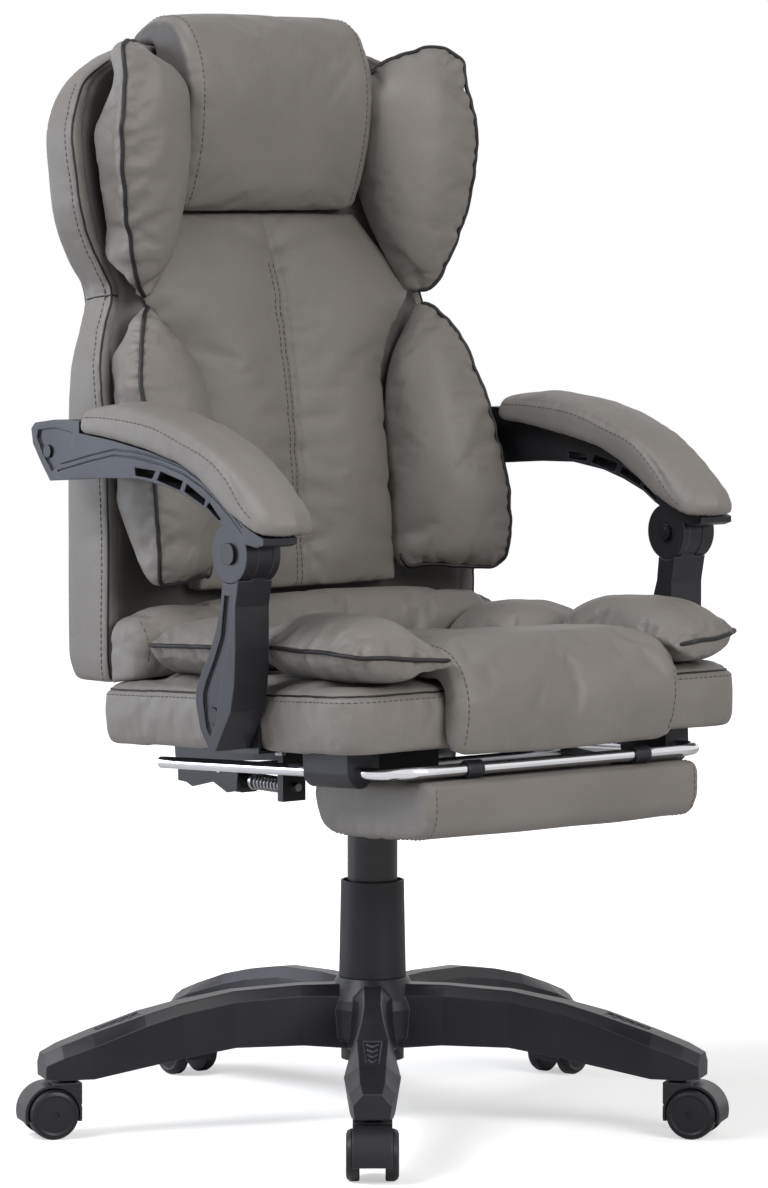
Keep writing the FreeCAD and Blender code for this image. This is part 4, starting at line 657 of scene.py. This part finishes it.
def mixed(name, points, squares, triangles, finish):
    """A piece whose faces are squares and triangles."""
    mesh = bpy.data.meshes.new(name)
    mesh.from_pydata(points.tolist(), [], squares.tolist() + triangles)
    shape = bmesh.new()
    shape.from_mesh(mesh)
    bmesh.ops.recalc_face_normals(shape, faces=shape.faces)
    shape.to_mesh(mesh)
    shape.free()
    mesh.materials.append(finish)
    mesh.polygons.foreach_set("use_smooth", [True] * len(mesh.polygons))
    thing = bpy.data.objects.new(name, mesh)
    bpy.context.scene.collection.objects.link(thing)
    return thing


print("sweeping ready")


# %% Piping and stitch rows
def piping(name, thing, body, line, radius=2.3, lift=0.7):
    """A black cord along a dense line, half sunk into the piece."""
    line, _ = on_surface(thing, line, lift)
    cord = tube(name, evened(line, 5)[::2], radius, cord_leather)
    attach(cord, body)


def stitches(name, thing, body, paths, pitch=6.5, length=4.6, radius=0.55):
    """Spindles of thread: six-sided, thick in the middle, one for each pitch along each path."""
    starts, ends, ups = [], [], []
    step = 4
    share = int(round(step * length / pitch))
    for path in paths:
        line, ways = on_surface(thing, dense(path, pitch / step), 0.25)
        line = evened(line, 4)
        first = np.arange(0, len(line) - step, step)
        starts.append(line[first])
        ends.append(line[first + share])
        ups.append(ways[first])
    start, end, up = np.vstack(starts), np.vstack(ends), np.vstack(ups)
    ahead = (end - start) / np.linalg.norm(end - start, axis=1)[:, None]
    side = np.cross(ahead, up)
    side /= np.linalg.norm(side, axis=1)[:, None]
    angle = np.linspace(0, 2 * math.pi, 6, endpoint=False)
    ring = radius * MM * (np.cos(angle)[None, :, None] * side[:, None] + np.sin(angle)[None, :, None] * up[:, None])
    rows = [start[:, None] + ring * 0.2, start[:, None] * 0.75 + end[:, None] * 0.25 + ring,
            start[:, None] * 0.25 + end[:, None] * 0.75 + ring, end[:, None] + ring * 0.2]
    points = np.stack(rows, axis=1).reshape(-1, 3)
    index = np.arange(len(points)).reshape(-1, 4, 6)
    turned = np.roll(index, -1, axis=2)
    walls = np.stack([index[:, :-1], turned[:, :-1], turned[:, 1:], index[:, 1:]], axis=-1).reshape(-1, 4)
    caps = np.vstack([index[:, 0, ::-1], index[:, 3]])
    row = mixed(name, points, walls, caps.tolist(), thread)
    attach(row, body)
    print(name, len(start), "stitches")


def finished(thing, body, fill, *replaced):
    """One level of subdivision, then the piece takes its CAD solids' place."""
    level = thing.modifiers.new("smooth", "SUBSURF")
    level.levels = level.render_levels = 1
    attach(thing, body)
    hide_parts(*replaced)


print("sewing ready")

# %% [markdown]
# ## Return spring of the recline lock
# The rod's collar presses a coil spring against its stop as the backrest leans. The coil is a circle
# carried along the rod, nine times round. On the chair it shortens towards its fixed end as the rod slides; this
# coil keeps one length.

# %% Spring
def spring(turns=9, radius=7.2, wire=1.2):
    """At angle t the wire is at (r cos t, y, r sin t) from the rod's middle, with y even from end to end."""
    low, high = (np.array(corner, float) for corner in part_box("lock_spring"))
    middle = (low + high) / 2
    share = np.linspace(0, 1, turns * 30 + 1)
    angle = 2 * math.pi * turns * share
    y = low[1] + wire * MM + share * (high[1] - low[1] - 2 * wire * MM)
    line = np.column_stack([middle[0] + radius * MM * np.cos(angle), y, middle[2] + radius * MM * np.sin(angle)])
    coil = tube("lock_spring_coil", line, wire, zinc, 8, False)
    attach(coil, "seat")
    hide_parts("lock_spring")
    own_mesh(coil)


spring()

# %% [markdown]
# ## Wing and lumbar cushions
# Four pillows are sewn to the front of the backrest: two wings beside the head, two at the loins. Each
# has black piping on its outer edge, with gathers on both sides of it. We mirror the piping's line
# for the other side and give each side its own seed, so that no two cushions crease alike.

# %% Piped lines of the back cushions
WING_LINE = [
    (176, 145, 832), (187, 139, 842), (203, 130, 870), (217, 121, 910), (225, 115, 960), (227, 113, 1010),
    (225, 116, 1045), (219, 124, 1072), (208, 134, 1087), (194, 145, 1089), (176, 157, 1083), (154, 169, 1073),
    (132, 175, 1062), (118, 179, 1052),
]
LUMBAR_LINE = [
    (174, 141, 824), (184, 133, 820), (198, 120, 802), (210, 106, 772), (218, 94, 740), (224, 76, 690),
    (226, 58, 630), (226, 55, 590), (224, 57, 563), (212, 66, 549), (188, 70, 546), (160, 80, 545),
    (138, 93, 545), (127, 104, 549), (122, 110, 566),
]


def back_pillow(side, name, node, line, seed, cap, low, narrow, taper):
    """One pillow: blank, cloth, gathers off its piping, then the piping itself.

    Before the cloth it is narrowed beside the shell, and its rear lower corner is lifted by the taper.
    """
    sign = 1 if side == "left" else -1
    seam = wobble(upright(flipped(line, sign)), seed + 7)
    thing = blank(f"{name}_{side}_cover", f"{node}_{side}", 3.6, hide)
    points = spots(thing)
    out = sign * (points[:, 0] - COLUMN[0]) / MM
    deep, high = (points[:, 1] - COLUMN[1]) / MM, points[:, 2] / MM
    tuck = smooth_step(out, 196, 236) * smooth_step(deep, 116, 142)
    tuck *= smooth_step(high, low + 20, low + 70) * (1 - smooth_step(high, 1010, 1060))
    points[:, 0] -= sign * narrow * MM * tuck
    corner = smooth_step(deep, 72, 138) * smooth_step(out, 120, 190) * smooth_step(-high, -700, -low)
    points[:, 2] += taper * MM * corner
    set_spots(thing, points)
    relax(thing, 3)
    points, ways = spots(thing), normals(thing)
    far, _ = beside(points, seam)
    back = facing_back(ways, 0.25, 4)
    held = np.maximum(at_seam(far, 1.6), back)
    puff(thing, held, pressure=3.5, spare=0.014, cap=cap)
    relax(thing, 2, 0.4)
    points = spots(thing)
    front = np.clip(1 - back, 0, 1)
    dent = gathers(points, seam, seed, 3.2, 22, 14)
    dent += gathers(points, seam, seed + 50, 2.8, 52, 48, 5.0)
    dent_in(thing, dent * (0.35 + 0.65 * front) + swell(points, seed, 90, 1.2) * front)
    finished(thing, "backrest", 0.8, f"{node}_{side}")
    piping(f"{name}_{side}_piping", thing, "backrest", seam)


for number, side in enumerate(("left", "right")):
    back_pillow(side, "wing", "wing_cushion", WING_LINE, 3 + number, 6, 832, 17, 0)
    back_pillow(side, "lumbar", "lumbar_cushion", LUMBAR_LINE, 13 + number, 5, 547, 6, 60)
print("four back pillows")

# %% [markdown]
# ## Centre of the backrest and headrest
# The centre cushion is two long channels that meet at a stitched seam. The headrest is a roll with a
# seam and a stitch row near each end. Both are smooth, with slow soft waves.

# %% Centre channels
SEAM_LINE = [
    (0, 110, 535), (0, 114, 593), (0, 122, 672), (0, 134, 750), (0, 148, 831), (0, 163, 874), (0, 185, 916),
]
CHANNEL_EDGE = [(118, 121, 560), (117, 128, 680), (124, 140, 765), (148, 152, 800), (174, 158, 834)]
WIDEN = 9
centre = blank("back_centre_cover", "back_centre_pad", 4.0, hide)
relax(centre, 4)
points, ways = spots(centre), normals(centre)
out = points[:, 0] - COLUMN[0]
shift = WIDEN * smooth_step(np.abs(out) / MM, 80, 108) * smooth_step(-points[:, 2] / MM, -800, -740)
points[:, 0] += np.sign(out) * shift * MM
set_spots(centre, points)
seam_path = dense(upright(SEAM_LINE))
far, _ = beside(points, seam_path)
held = np.maximum(at_seam(far), facing_back(ways, -0.1, 5))
puff(centre, held, pressure=2.5, spare=0.005, cap=5)
relax(centre, 1, 0.4)
points = spots(centre)
dent = groove(points, seam_path, 3.2, 4.0) + gathers(points, seam_path, 31, 1.4, 16, 26, 4.0)
dent += gathers(points, seam_path, 37, 2.6, 60, 62, 6.0)
for number, sign in enumerate((1, -1)):
    edge = dense(upright(flipped(CHANNEL_EDGE, sign)))
    dent += gathers(points, edge, 35 + number, 3.0, 46, 44, 5.0)
dent_in(centre, dent * (normals(centre)[:, 1] < 0.2) + swell(points, 33, 120, 0.9))
finished(centre, "backrest", 0.7, "back_centre_pad")
rows = [upright([(across, y - 4, z) for _, y, z in SEAM_LINE[:-1]]) for across in (-12, -2.5)]
stitches("centre_stitches", centre, "backrest", rows)

# %% Headrest
head = blank("headrest_cover", "headrest", 4.0, head_hide)
relax(head, 5)
points, ways = spots(head), normals(head)
held = np.maximum(at_ends(points, 0.110, 0.005), facing_back(ways, 0.5, 4))
puff(head, held, pressure=2.5, spare=0.005, cap=5)
points = spots(head)
HEAD_SIDE = [
    (170, 922), (150, 960), (141, 1030), (146, 1070), (162, 1098), (196, 1118), (245, 1109), (258, 1094),
]
dent = swell(points, 41, 110, 0.8)
for number, line in enumerate(both_ends(upright, HEAD_SIDE, 112)):
    dent += groove(points, dense(line), 2.6, 3.2) + gathers(points, dense(line), 43 + number, 1.3, 18, 24)
dent_in(head, dent)
finished(head, "backrest", 0.8, "headrest")
stitches("headrest_stitches", head, "backrest", both_ends(upright, HEAD_SIDE, 104))
print("centre and headrest")

# %% [markdown]
# ## Lining of the backrest
# Behind the pillows the front of the backrest is covered too: a padded panel that runs down into the
# hollow and up to the front edge on both sides. One function of two parameters gives it: the share of
# the height, and the share of the way across.

# %% The shell's side and floor
# SHELL_SIDE: height, half width, front edge, rear edge. FLOOR_Y: height, depth of the hollow's floor.
SHELL_SIDE = [
    (447, 235, 128, 194), (469, 238, 127, 202), (601, 238, 126, 203), (703, 238, 132, 203), (767, 232, 148, 206),
    (806, 213, 166, 217), (836, 201, 171, 230), (864, 214, 171, 232), (888, 230, 168, 227), (919, 244, 162, 220),
    (960, 250, 163, 218), (998, 251, 168, 220), (1032, 234, 182, 229), (1052, 215, 196, 234), (1075, 176, 202, 240),
    (1088, 141, 206, 242),
]
FLOOR_Y = [
    (447, 159), (470, 163), (601, 166), (767, 167), (806, 175), (836, 181), (864, 193), (888, 206), (919, 218),
    (960, 227), (1088, 225),
]


print("shell tables:", len(SHELL_SIDE), "and", len(FLOOR_Y), "heights")


# %% Lining
def lining(rows=64, columns=41):
    """Height z runs up the rows. Across, y is flat near the board, then rises in a half wave to the lip."""
    bottom, top, inset, padding, widest_flat = 452, 1078, 14.5, 17.5, 146
    high = np.linspace(bottom, top, rows)[:, None]
    side = np.array(SHELL_SIDE, float)
    half, lip = (np.interp(high, side[:, 0], side[:, column]) for column in (1, 2))
    deep = np.interp(high, *np.array(FLOOR_Y, float).T) - padding
    across = np.linspace(-1, 1, columns)[None, :]
    x = across * (half - inset)
    flat = np.minimum(widest_flat, half - 50)
    rise = smooth_step(np.abs(x), flat, half - inset)
    y = deep + (lip + 4.5 - deep) * rise ** 1.2
    points = np.stack([x, y, np.broadcast_to(high, x.shape)], axis=-1).reshape(-1, 3)
    index = np.arange(rows * columns).reshape(rows, columns)
    faces = np.stack([index[:-1, :-1], index[:-1, 1:], index[1:, 1:], index[1:, :-1]], axis=-1).reshape(-1, 4)
    # The lining takes the darkened leather: painted shade in the hollow.
    return piece("back_lining", upright(points), faces, lining_hide_painted_shade)


panel = lining()
wall = panel.modifiers.new("padding", "SOLIDIFY")
wall.thickness, wall.offset = 0.0012, 0
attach(panel, "backrest")
print("lining:", len(panel.data.polygons), "faces")

# %% [markdown]
# ## Backrest shell
# The shell's cover is a wide band around the sides, sewn to the rear panel, with one cross seam at the
# waist and a thin black edge at the front and the rear. It is stretched tight, so it has grooves and a
# few shallow gathers, and no puffing.

# %% Shell
def shallower(points, forward=6):
    """The floor of the shell's hollow, hidden by the lining, comes forward: a thicker wall behind it."""
    x, y, z = ((points - COLUMN) / MM).T
    floor_half, near_floor = 193, 2.6
    on_floor = (np.abs(x) < floor_half) & (np.abs(y - np.interp(z, *np.array(FLOOR_Y, float).T)) < near_floor)
    print("shell:", int(on_floor.sum()), "floor points moved")
    return points - on_floor[:, None] * np.array([0, forward * MM, 0])


CROSS_LINE = [(186, 172, 834), (201, 174, 835), (201, 200, 832), (197, 232, 826)]
shell = blank("back_shell_cover", "back_shell", 4.5, hide, shallower)
relax(shell, 3)
points = spots(shell)
dent = swell(points, 51, 130, 0.7)
rear_edges, front_edges, crossings, sewn_lines = [], [], [], []
for number, sign in enumerate((1, -1)):
    rear = upright([(sign * (half - 7), back - 1, z) for z, half, front, back in SHELL_SIDE])
    sewn = upright([(sign * half, front + 11, z) for z, half, front, back in SHELL_SIDE[:-2]])
    cross = upright(flipped(CROSS_LINE, sign))
    dent += groove(points, dense(rear), 1.8, 3.0) + groove(points, dense(sewn), 0.9, 2.4)
    dent += groove(points, dense(cross), 2.4, 3.0) + gathers(points, dense(cross), 53 + number, 3.4, 26, 14)
    dent += gathers(points, dense(sewn), 55 + number, 1.1, 30, 40, 5.0)
    rear_edges.append(rear)
    sewn_lines.append(sewn)
    crossings.append(cross)
    front_edges.append(upright([(sign * (half - 1), front - 1, z) for z, half, front, back in SHELL_SIDE[:-1]]))
dent_in(shell, dent)
finished(shell, "backrest", 1.0, "back_shell")
for number, (rear, front, cross) in enumerate(zip(rear_edges, front_edges, crossings)):
    piping(f"shell_rear_edge_{number}", shell, "backrest", dense(rear), 1.5, 0.3)
    piping(f"shell_front_edge_{number}", shell, "backrest", dense(front), 1.1, 0.2)
    piping(f"shell_cross_seam_{number}", shell, "backrest", dense(cross), 0.8, 0.1)
stitches("shell_stitches", shell, "backrest", sewn_lines)
print("shell")

# %% [markdown]
# ## Seat
# The seat is a boxed cushion with a stitched top seam, a waterfall pad along its middle, a roll at the
# back and four piped bolsters. Lines are given in the tilted seat frame, in millimetres.

# %% Seat cushion
HALF_SEAT, SEAT_REAR, SEAT_FRONT = 250, 124, 289
TOP_SEAM = (2, 57, 40, 24)


def seat_ring(inset, height, front=34, rear=18):
    """The cushion's outline: straight sides and round corners, as a closed row of points."""
    rows = []
    corners = ((1, 1, rear, 90), (-1, 1, rear, 180), (-1, -1, front, 270), (1, -1, front, 0))
    for sign_x, sign_y, radius, start in corners:
        reach_x = HALF_SEAT - inset - radius
        reach_y = (SEAT_REAR if sign_y > 0 else SEAT_FRONT) - inset - radius
        turn = np.radians(np.linspace(start - 90, start, 6))
        across, along = sign_x * reach_x + radius * np.cos(turn), sign_y * reach_y + radius * np.sin(turn)
        rows.append(np.column_stack([across, along, np.full(6, float(height))]))
    ring = np.vstack(rows)
    return in_seat(np.vstack([ring, ring[:1]]))


cushion = blank("seat_cushion_cover", "seat_cushion", 4.5, hide)
relax(cushion, 3)
points, ways = spots(cushion), normals(cushion)
far, _ = beside(points, dense(seat_ring(*TOP_SEAM), 4))
held = np.maximum(at_seam(far), facing_down(ways, 0.3))
puff(cushion, held, pressure=2.0, spare=0.008, cap=4)
points = spots(cushion)
top_seam, low_seam = dense(seat_ring(*TOP_SEAM)), dense(seat_ring(3, 5))
dent = groove(points, top_seam, 2.6, 2.8) + gathers(points, top_seam, 61, 1.3, 20, 22)
dent += gathers(points, low_seam, 63, 1.6, 16, 30) + swell(points, 65, 100, 0.9)
dent_in(cushion, dent * (1 - facing_down(normals(cushion), 0.5, 3)))
finished(cushion, "seat", 0.9, "seat_cushion")
piping("seat_seam", cushion, "seat", top_seam, 1.1, 0.1)
stitches("seat_stitches", cushion, "seat", [seat_ring(0, 50.5)])

# %% Waterfall pad
PAD_SIDE = [
    (46, 72), (40, 90), (0, 97), (-110, 98), (-190, 99), (-262, 99), (-296, 88), (-316, 62), (-320, 30), (-312, 0),
]
pad = blank("seat_centre_cover", "seat_centre_pad", 4.2, hide)
relax(pad, 6)
points, ways = spots(pad), normals(pad)
held = np.maximum(at_ends(points, 0.132, 0.005), facing_down(ways, 0.35))
puff(pad, held, pressure=2.5, spare=0.008, cap=5)
points = spots(pad)
dent = swell(points, 71, 140, 1.1)
for number, line in enumerate(both_ends(in_seat, PAD_SIDE, 135)):
    dent += groove(points, dense(line), 1.6, 3.0) + gathers(points, dense(line), 73 + number, 1.5, 24, 26)
dent_in(pad, dent)
finished(pad, "seat", 0.85, "seat_centre_pad")
stitches("seat_pad_stitches", pad, "seat", both_ends(in_seat, PAD_SIDE[1:], 130))
print("seat cushion and pad")

# %% Rear roll
ROLL_END = [(117, 66), (117, 104), (94, 121), (77, 104), (79, 72)]
roll = blank("seat_roll_cover", "seat_rear_roll", 4.0, hide)
relax(roll, 5)
points, ways = spots(roll), normals(roll)
held = np.maximum(at_ends(points, 0.222, 0.008), facing_down(ways, 0.2))
puff(roll, held, pressure=3, spare=0.014, cap=5)
points = spots(roll)
dent = swell(points, 81, 110, 1.2)
for number, line in enumerate(both_ends(in_seat, ROLL_END, 226)):
    dent += groove(points, dense(line), 2.0, 3.0) + gathers(points, dense(line), 83 + number, 2.2, 34, 14)
for number, height in enumerate((70, 78)):
    seam = dense(in_seat([(x, 58 if abs(x) < 200 else 68, height) for x in (-225, -120, 0, 120, 225)]))
    dent += gathers(points, seam, 87 + number, 2.0, 30, 34, 5.0)
dent_in(roll, dent)
finished(roll, "seat", 0.75, "seat_rear_roll")
stitches("seat_roll_stitches", roll, "seat", both_ends(in_seat, ROLL_END, 221))

# %% Bolsters
FRONT_LINE = [
    (144, -312, 86), (160, -311, 87), (204, -301, 90), (230, -294, 92), (241, -286, 93.5), (248, -268, 96),
    (249, -235, 98), (248, -190, 100), (244, -140, 102), (232, -112, 103), (216, -98, 103), (196, -97, 103),
]
REAR_LINE = [(176, -93, 99), (204, -91, 99), (229, -77, 99), (242, -36, 100), (244, 10, 100), (242, 45, 100)]


def bolster(name, node, paths, seed, cap):
    """A piped pillow on the seat: both its faces gather towards the piping."""
    thing = blank(name, node, 3.4, hide)
    relax(thing, 3)
    points, ways = spots(thing), normals(thing)
    lines = [wobble(in_seat(path), seed + 20 + number, 1.4) for number, path in enumerate(paths)]
    far = np.min([beside(points, line)[0] for line in lines], axis=0)
    held = np.maximum(at_seam(far, 1.6), facing_down(ways, 0.7))
    puff(thing, held, pressure=4, spare=0.03, cap=cap)
    relax(thing, 1, 0.4)
    points = spots(thing)
    dent = swell(points, seed, 80, 1.4)
    for number, line in enumerate(lines):
        dent += gathers(points, line, seed + number, 3.6, 26, 15)
        dent += gathers(points, line, seed + 9 + number, 2.6, 55, 40, 5.0)
    dent_in(thing, dent)
    finished(thing, "seat", 0.8, node)
    for number, line in enumerate(lines):
        piping(f"{name}_piping_{number}", thing, "seat", line)


for number, (side, sign) in enumerate((("left", 1), ("right", -1))):
    bolster(f"front_bolster_{side}_cover", f"front_bolster_{side}",
            [flipped(FRONT_LINE, sign)], 91 + number, 6)
bolster("rear_bolsters_cover", "rear_bolsters", [flipped(REAR_LINE, sign) for sign in (1, -1)], 97, 5)
print("roll and bolsters")

# %% [markdown]
# ## Footrest and armrest pads
# The footrest is a boxed pad with sewn end panels. The armrest pads are firm foam on the rails, with a
# seam between the top and the side and a row of stitches just under it.

# %% Footrest pad
foot = blank("footrest_cover", "footrest_pad", 4.2, hide)
relax(foot, 3)
points = spots(foot)
FOOT_END = [
    (-302, -30), (-220, -29.5), (-128, -30), (-122, -36), (-122, -54), (-133, -76), (-156, -85), (-220, -87),
    (-284, -85), (-302, -74), (-306, -58), (-306, -38), (-302, -30),
]
dent = swell(points, 101, 110, 1.0)
for number, line in enumerate(both_ends(in_seat, FOOT_END, 168)):
    dent += groove(points, dense(line), 1.6, 2.6) + gathers(points, dense(line), 103 + number, 1.5, 22, 24)
dent_in(foot, dent * (normals(foot)[:, 2] < 0.8))
finished(foot, "footrest_pad", 0.9, "footrest_pad")
stitches("footrest_stitches", foot, "footrest_pad", both_ends(in_seat, FOOT_END, 162))

# %% Armrest pads
ARM_SEAM = [
    (299, 84, 727), (299, 29, 726), (299, -35, 720), (299, -83, 707), (299, -130, 692), (298, -158, 674),
    (296, -180, 651), (289, -199, 636), (275, -214, 627), (258, -216, 625), (243, -207, 630), (235, -188, 642),
    (232, -160, 670), (232, -130, 692), (232, -83, 707), (232, -35, 720), (232, 29, 726), (232, 84, 727),
]
for number, (side, sign) in enumerate((("left", 1), ("right", -1))):
    top = blank(f"armrest_cover_{side}", f"armrest_pad_{side}", 3.2, hide)
    relax(top, 8)
    points = spots(top)
    seam = dense(upright(flipped(ARM_SEAM, sign, 3)))
    dent = swell(points, 111 + number, 90, 0.7) + groove(points, seam, 1.6, 2.4)
    dent += gathers(points, seam, 113 + number, 1.0, 18, 18)
    dent_in(top, dent)
    finished(top, f"arm_{side}", 0.9, f"armrest_pad_{side}")
    stitches(f"armrest_stitches_{side}", top, f"arm_{side}", [upright(flipped(ARM_SEAM, sign, 9))])
print("footrest and armrests")

# %% [markdown]
# ## Floor and background
# A pale floor catches the chair's soft shadow. Where the camera, or a mirror-like metal, looks at the
# background, it sees plain white.

# %% Floor and world
floor_finish = Finish("pale_floor")
away = floor_finish.add("ShaderNodeVectorMath", {"operation": "LENGTH"}, {"Vector": floor_finish.place}, "Value")
bright = away.between(0.5, 1.3) * 0.5 + 0.5
glow = floor_finish.add("ShaderNodeEmission", {}, {"Color": (1, 1, 1, 1), "Strength": bright})
matt = floor_finish.add("ShaderNodeBsdfDiffuse", {}, {"Color": (0.86, 0.86, 0.86, 1)})
lit = floor_finish.add("ShaderNodeAddShader", {}, {0: glow, 1: matt})
seen = floor_finish.add("ShaderNodeLightPath", {}, {}, "Is Camera Ray")
both = floor_finish.add("ShaderNodeMixShader", {}, {0: seen, 1: matt, 2: lit})
floor_finish.tree.links.new(both.socket, floor_finish.tree.nodes["Material Output"].inputs["Surface"])
corners = [(-6, -6, 0), (6, -6, 0), (6, 6, 0), (-6, 6, 0)]
floor = piece("floor", corners, [(0, 1, 2, 3)], floor_finish.material, False)
world = bpy.data.worlds.new("studio")
bpy.context.scene.world = world
world.use_nodes = True
tree = world.node_tree
ways = tree.nodes.new("ShaderNodeLightPath")
seen = tree.nodes.new("ShaderNodeMath")
seen.operation = "MAXIMUM"
tree.links.new(ways.outputs["Is Camera Ray"], seen.inputs[0])
tree.links.new(ways.outputs["Is Glossy Ray"], seen.inputs[1])
white, soft = tree.nodes["Background"], tree.nodes.new("ShaderNodeBackground")
white.inputs["Strength"].default_value = 1.0
white.inputs["Color"].default_value = (1, 1, 1, 1)
soft.inputs["Strength"].default_value = 0.2
blend = tree.nodes.new("ShaderNodeMixShader")
tree.links.new(seen.outputs[0], blend.inputs[0])
tree.links.new(soft.outputs[0], blend.inputs[1])
tree.links.new(white.outputs[0], blend.inputs[2])
tree.links.new(blend.outputs[0], tree.nodes["World Output"].inputs["Surface"])
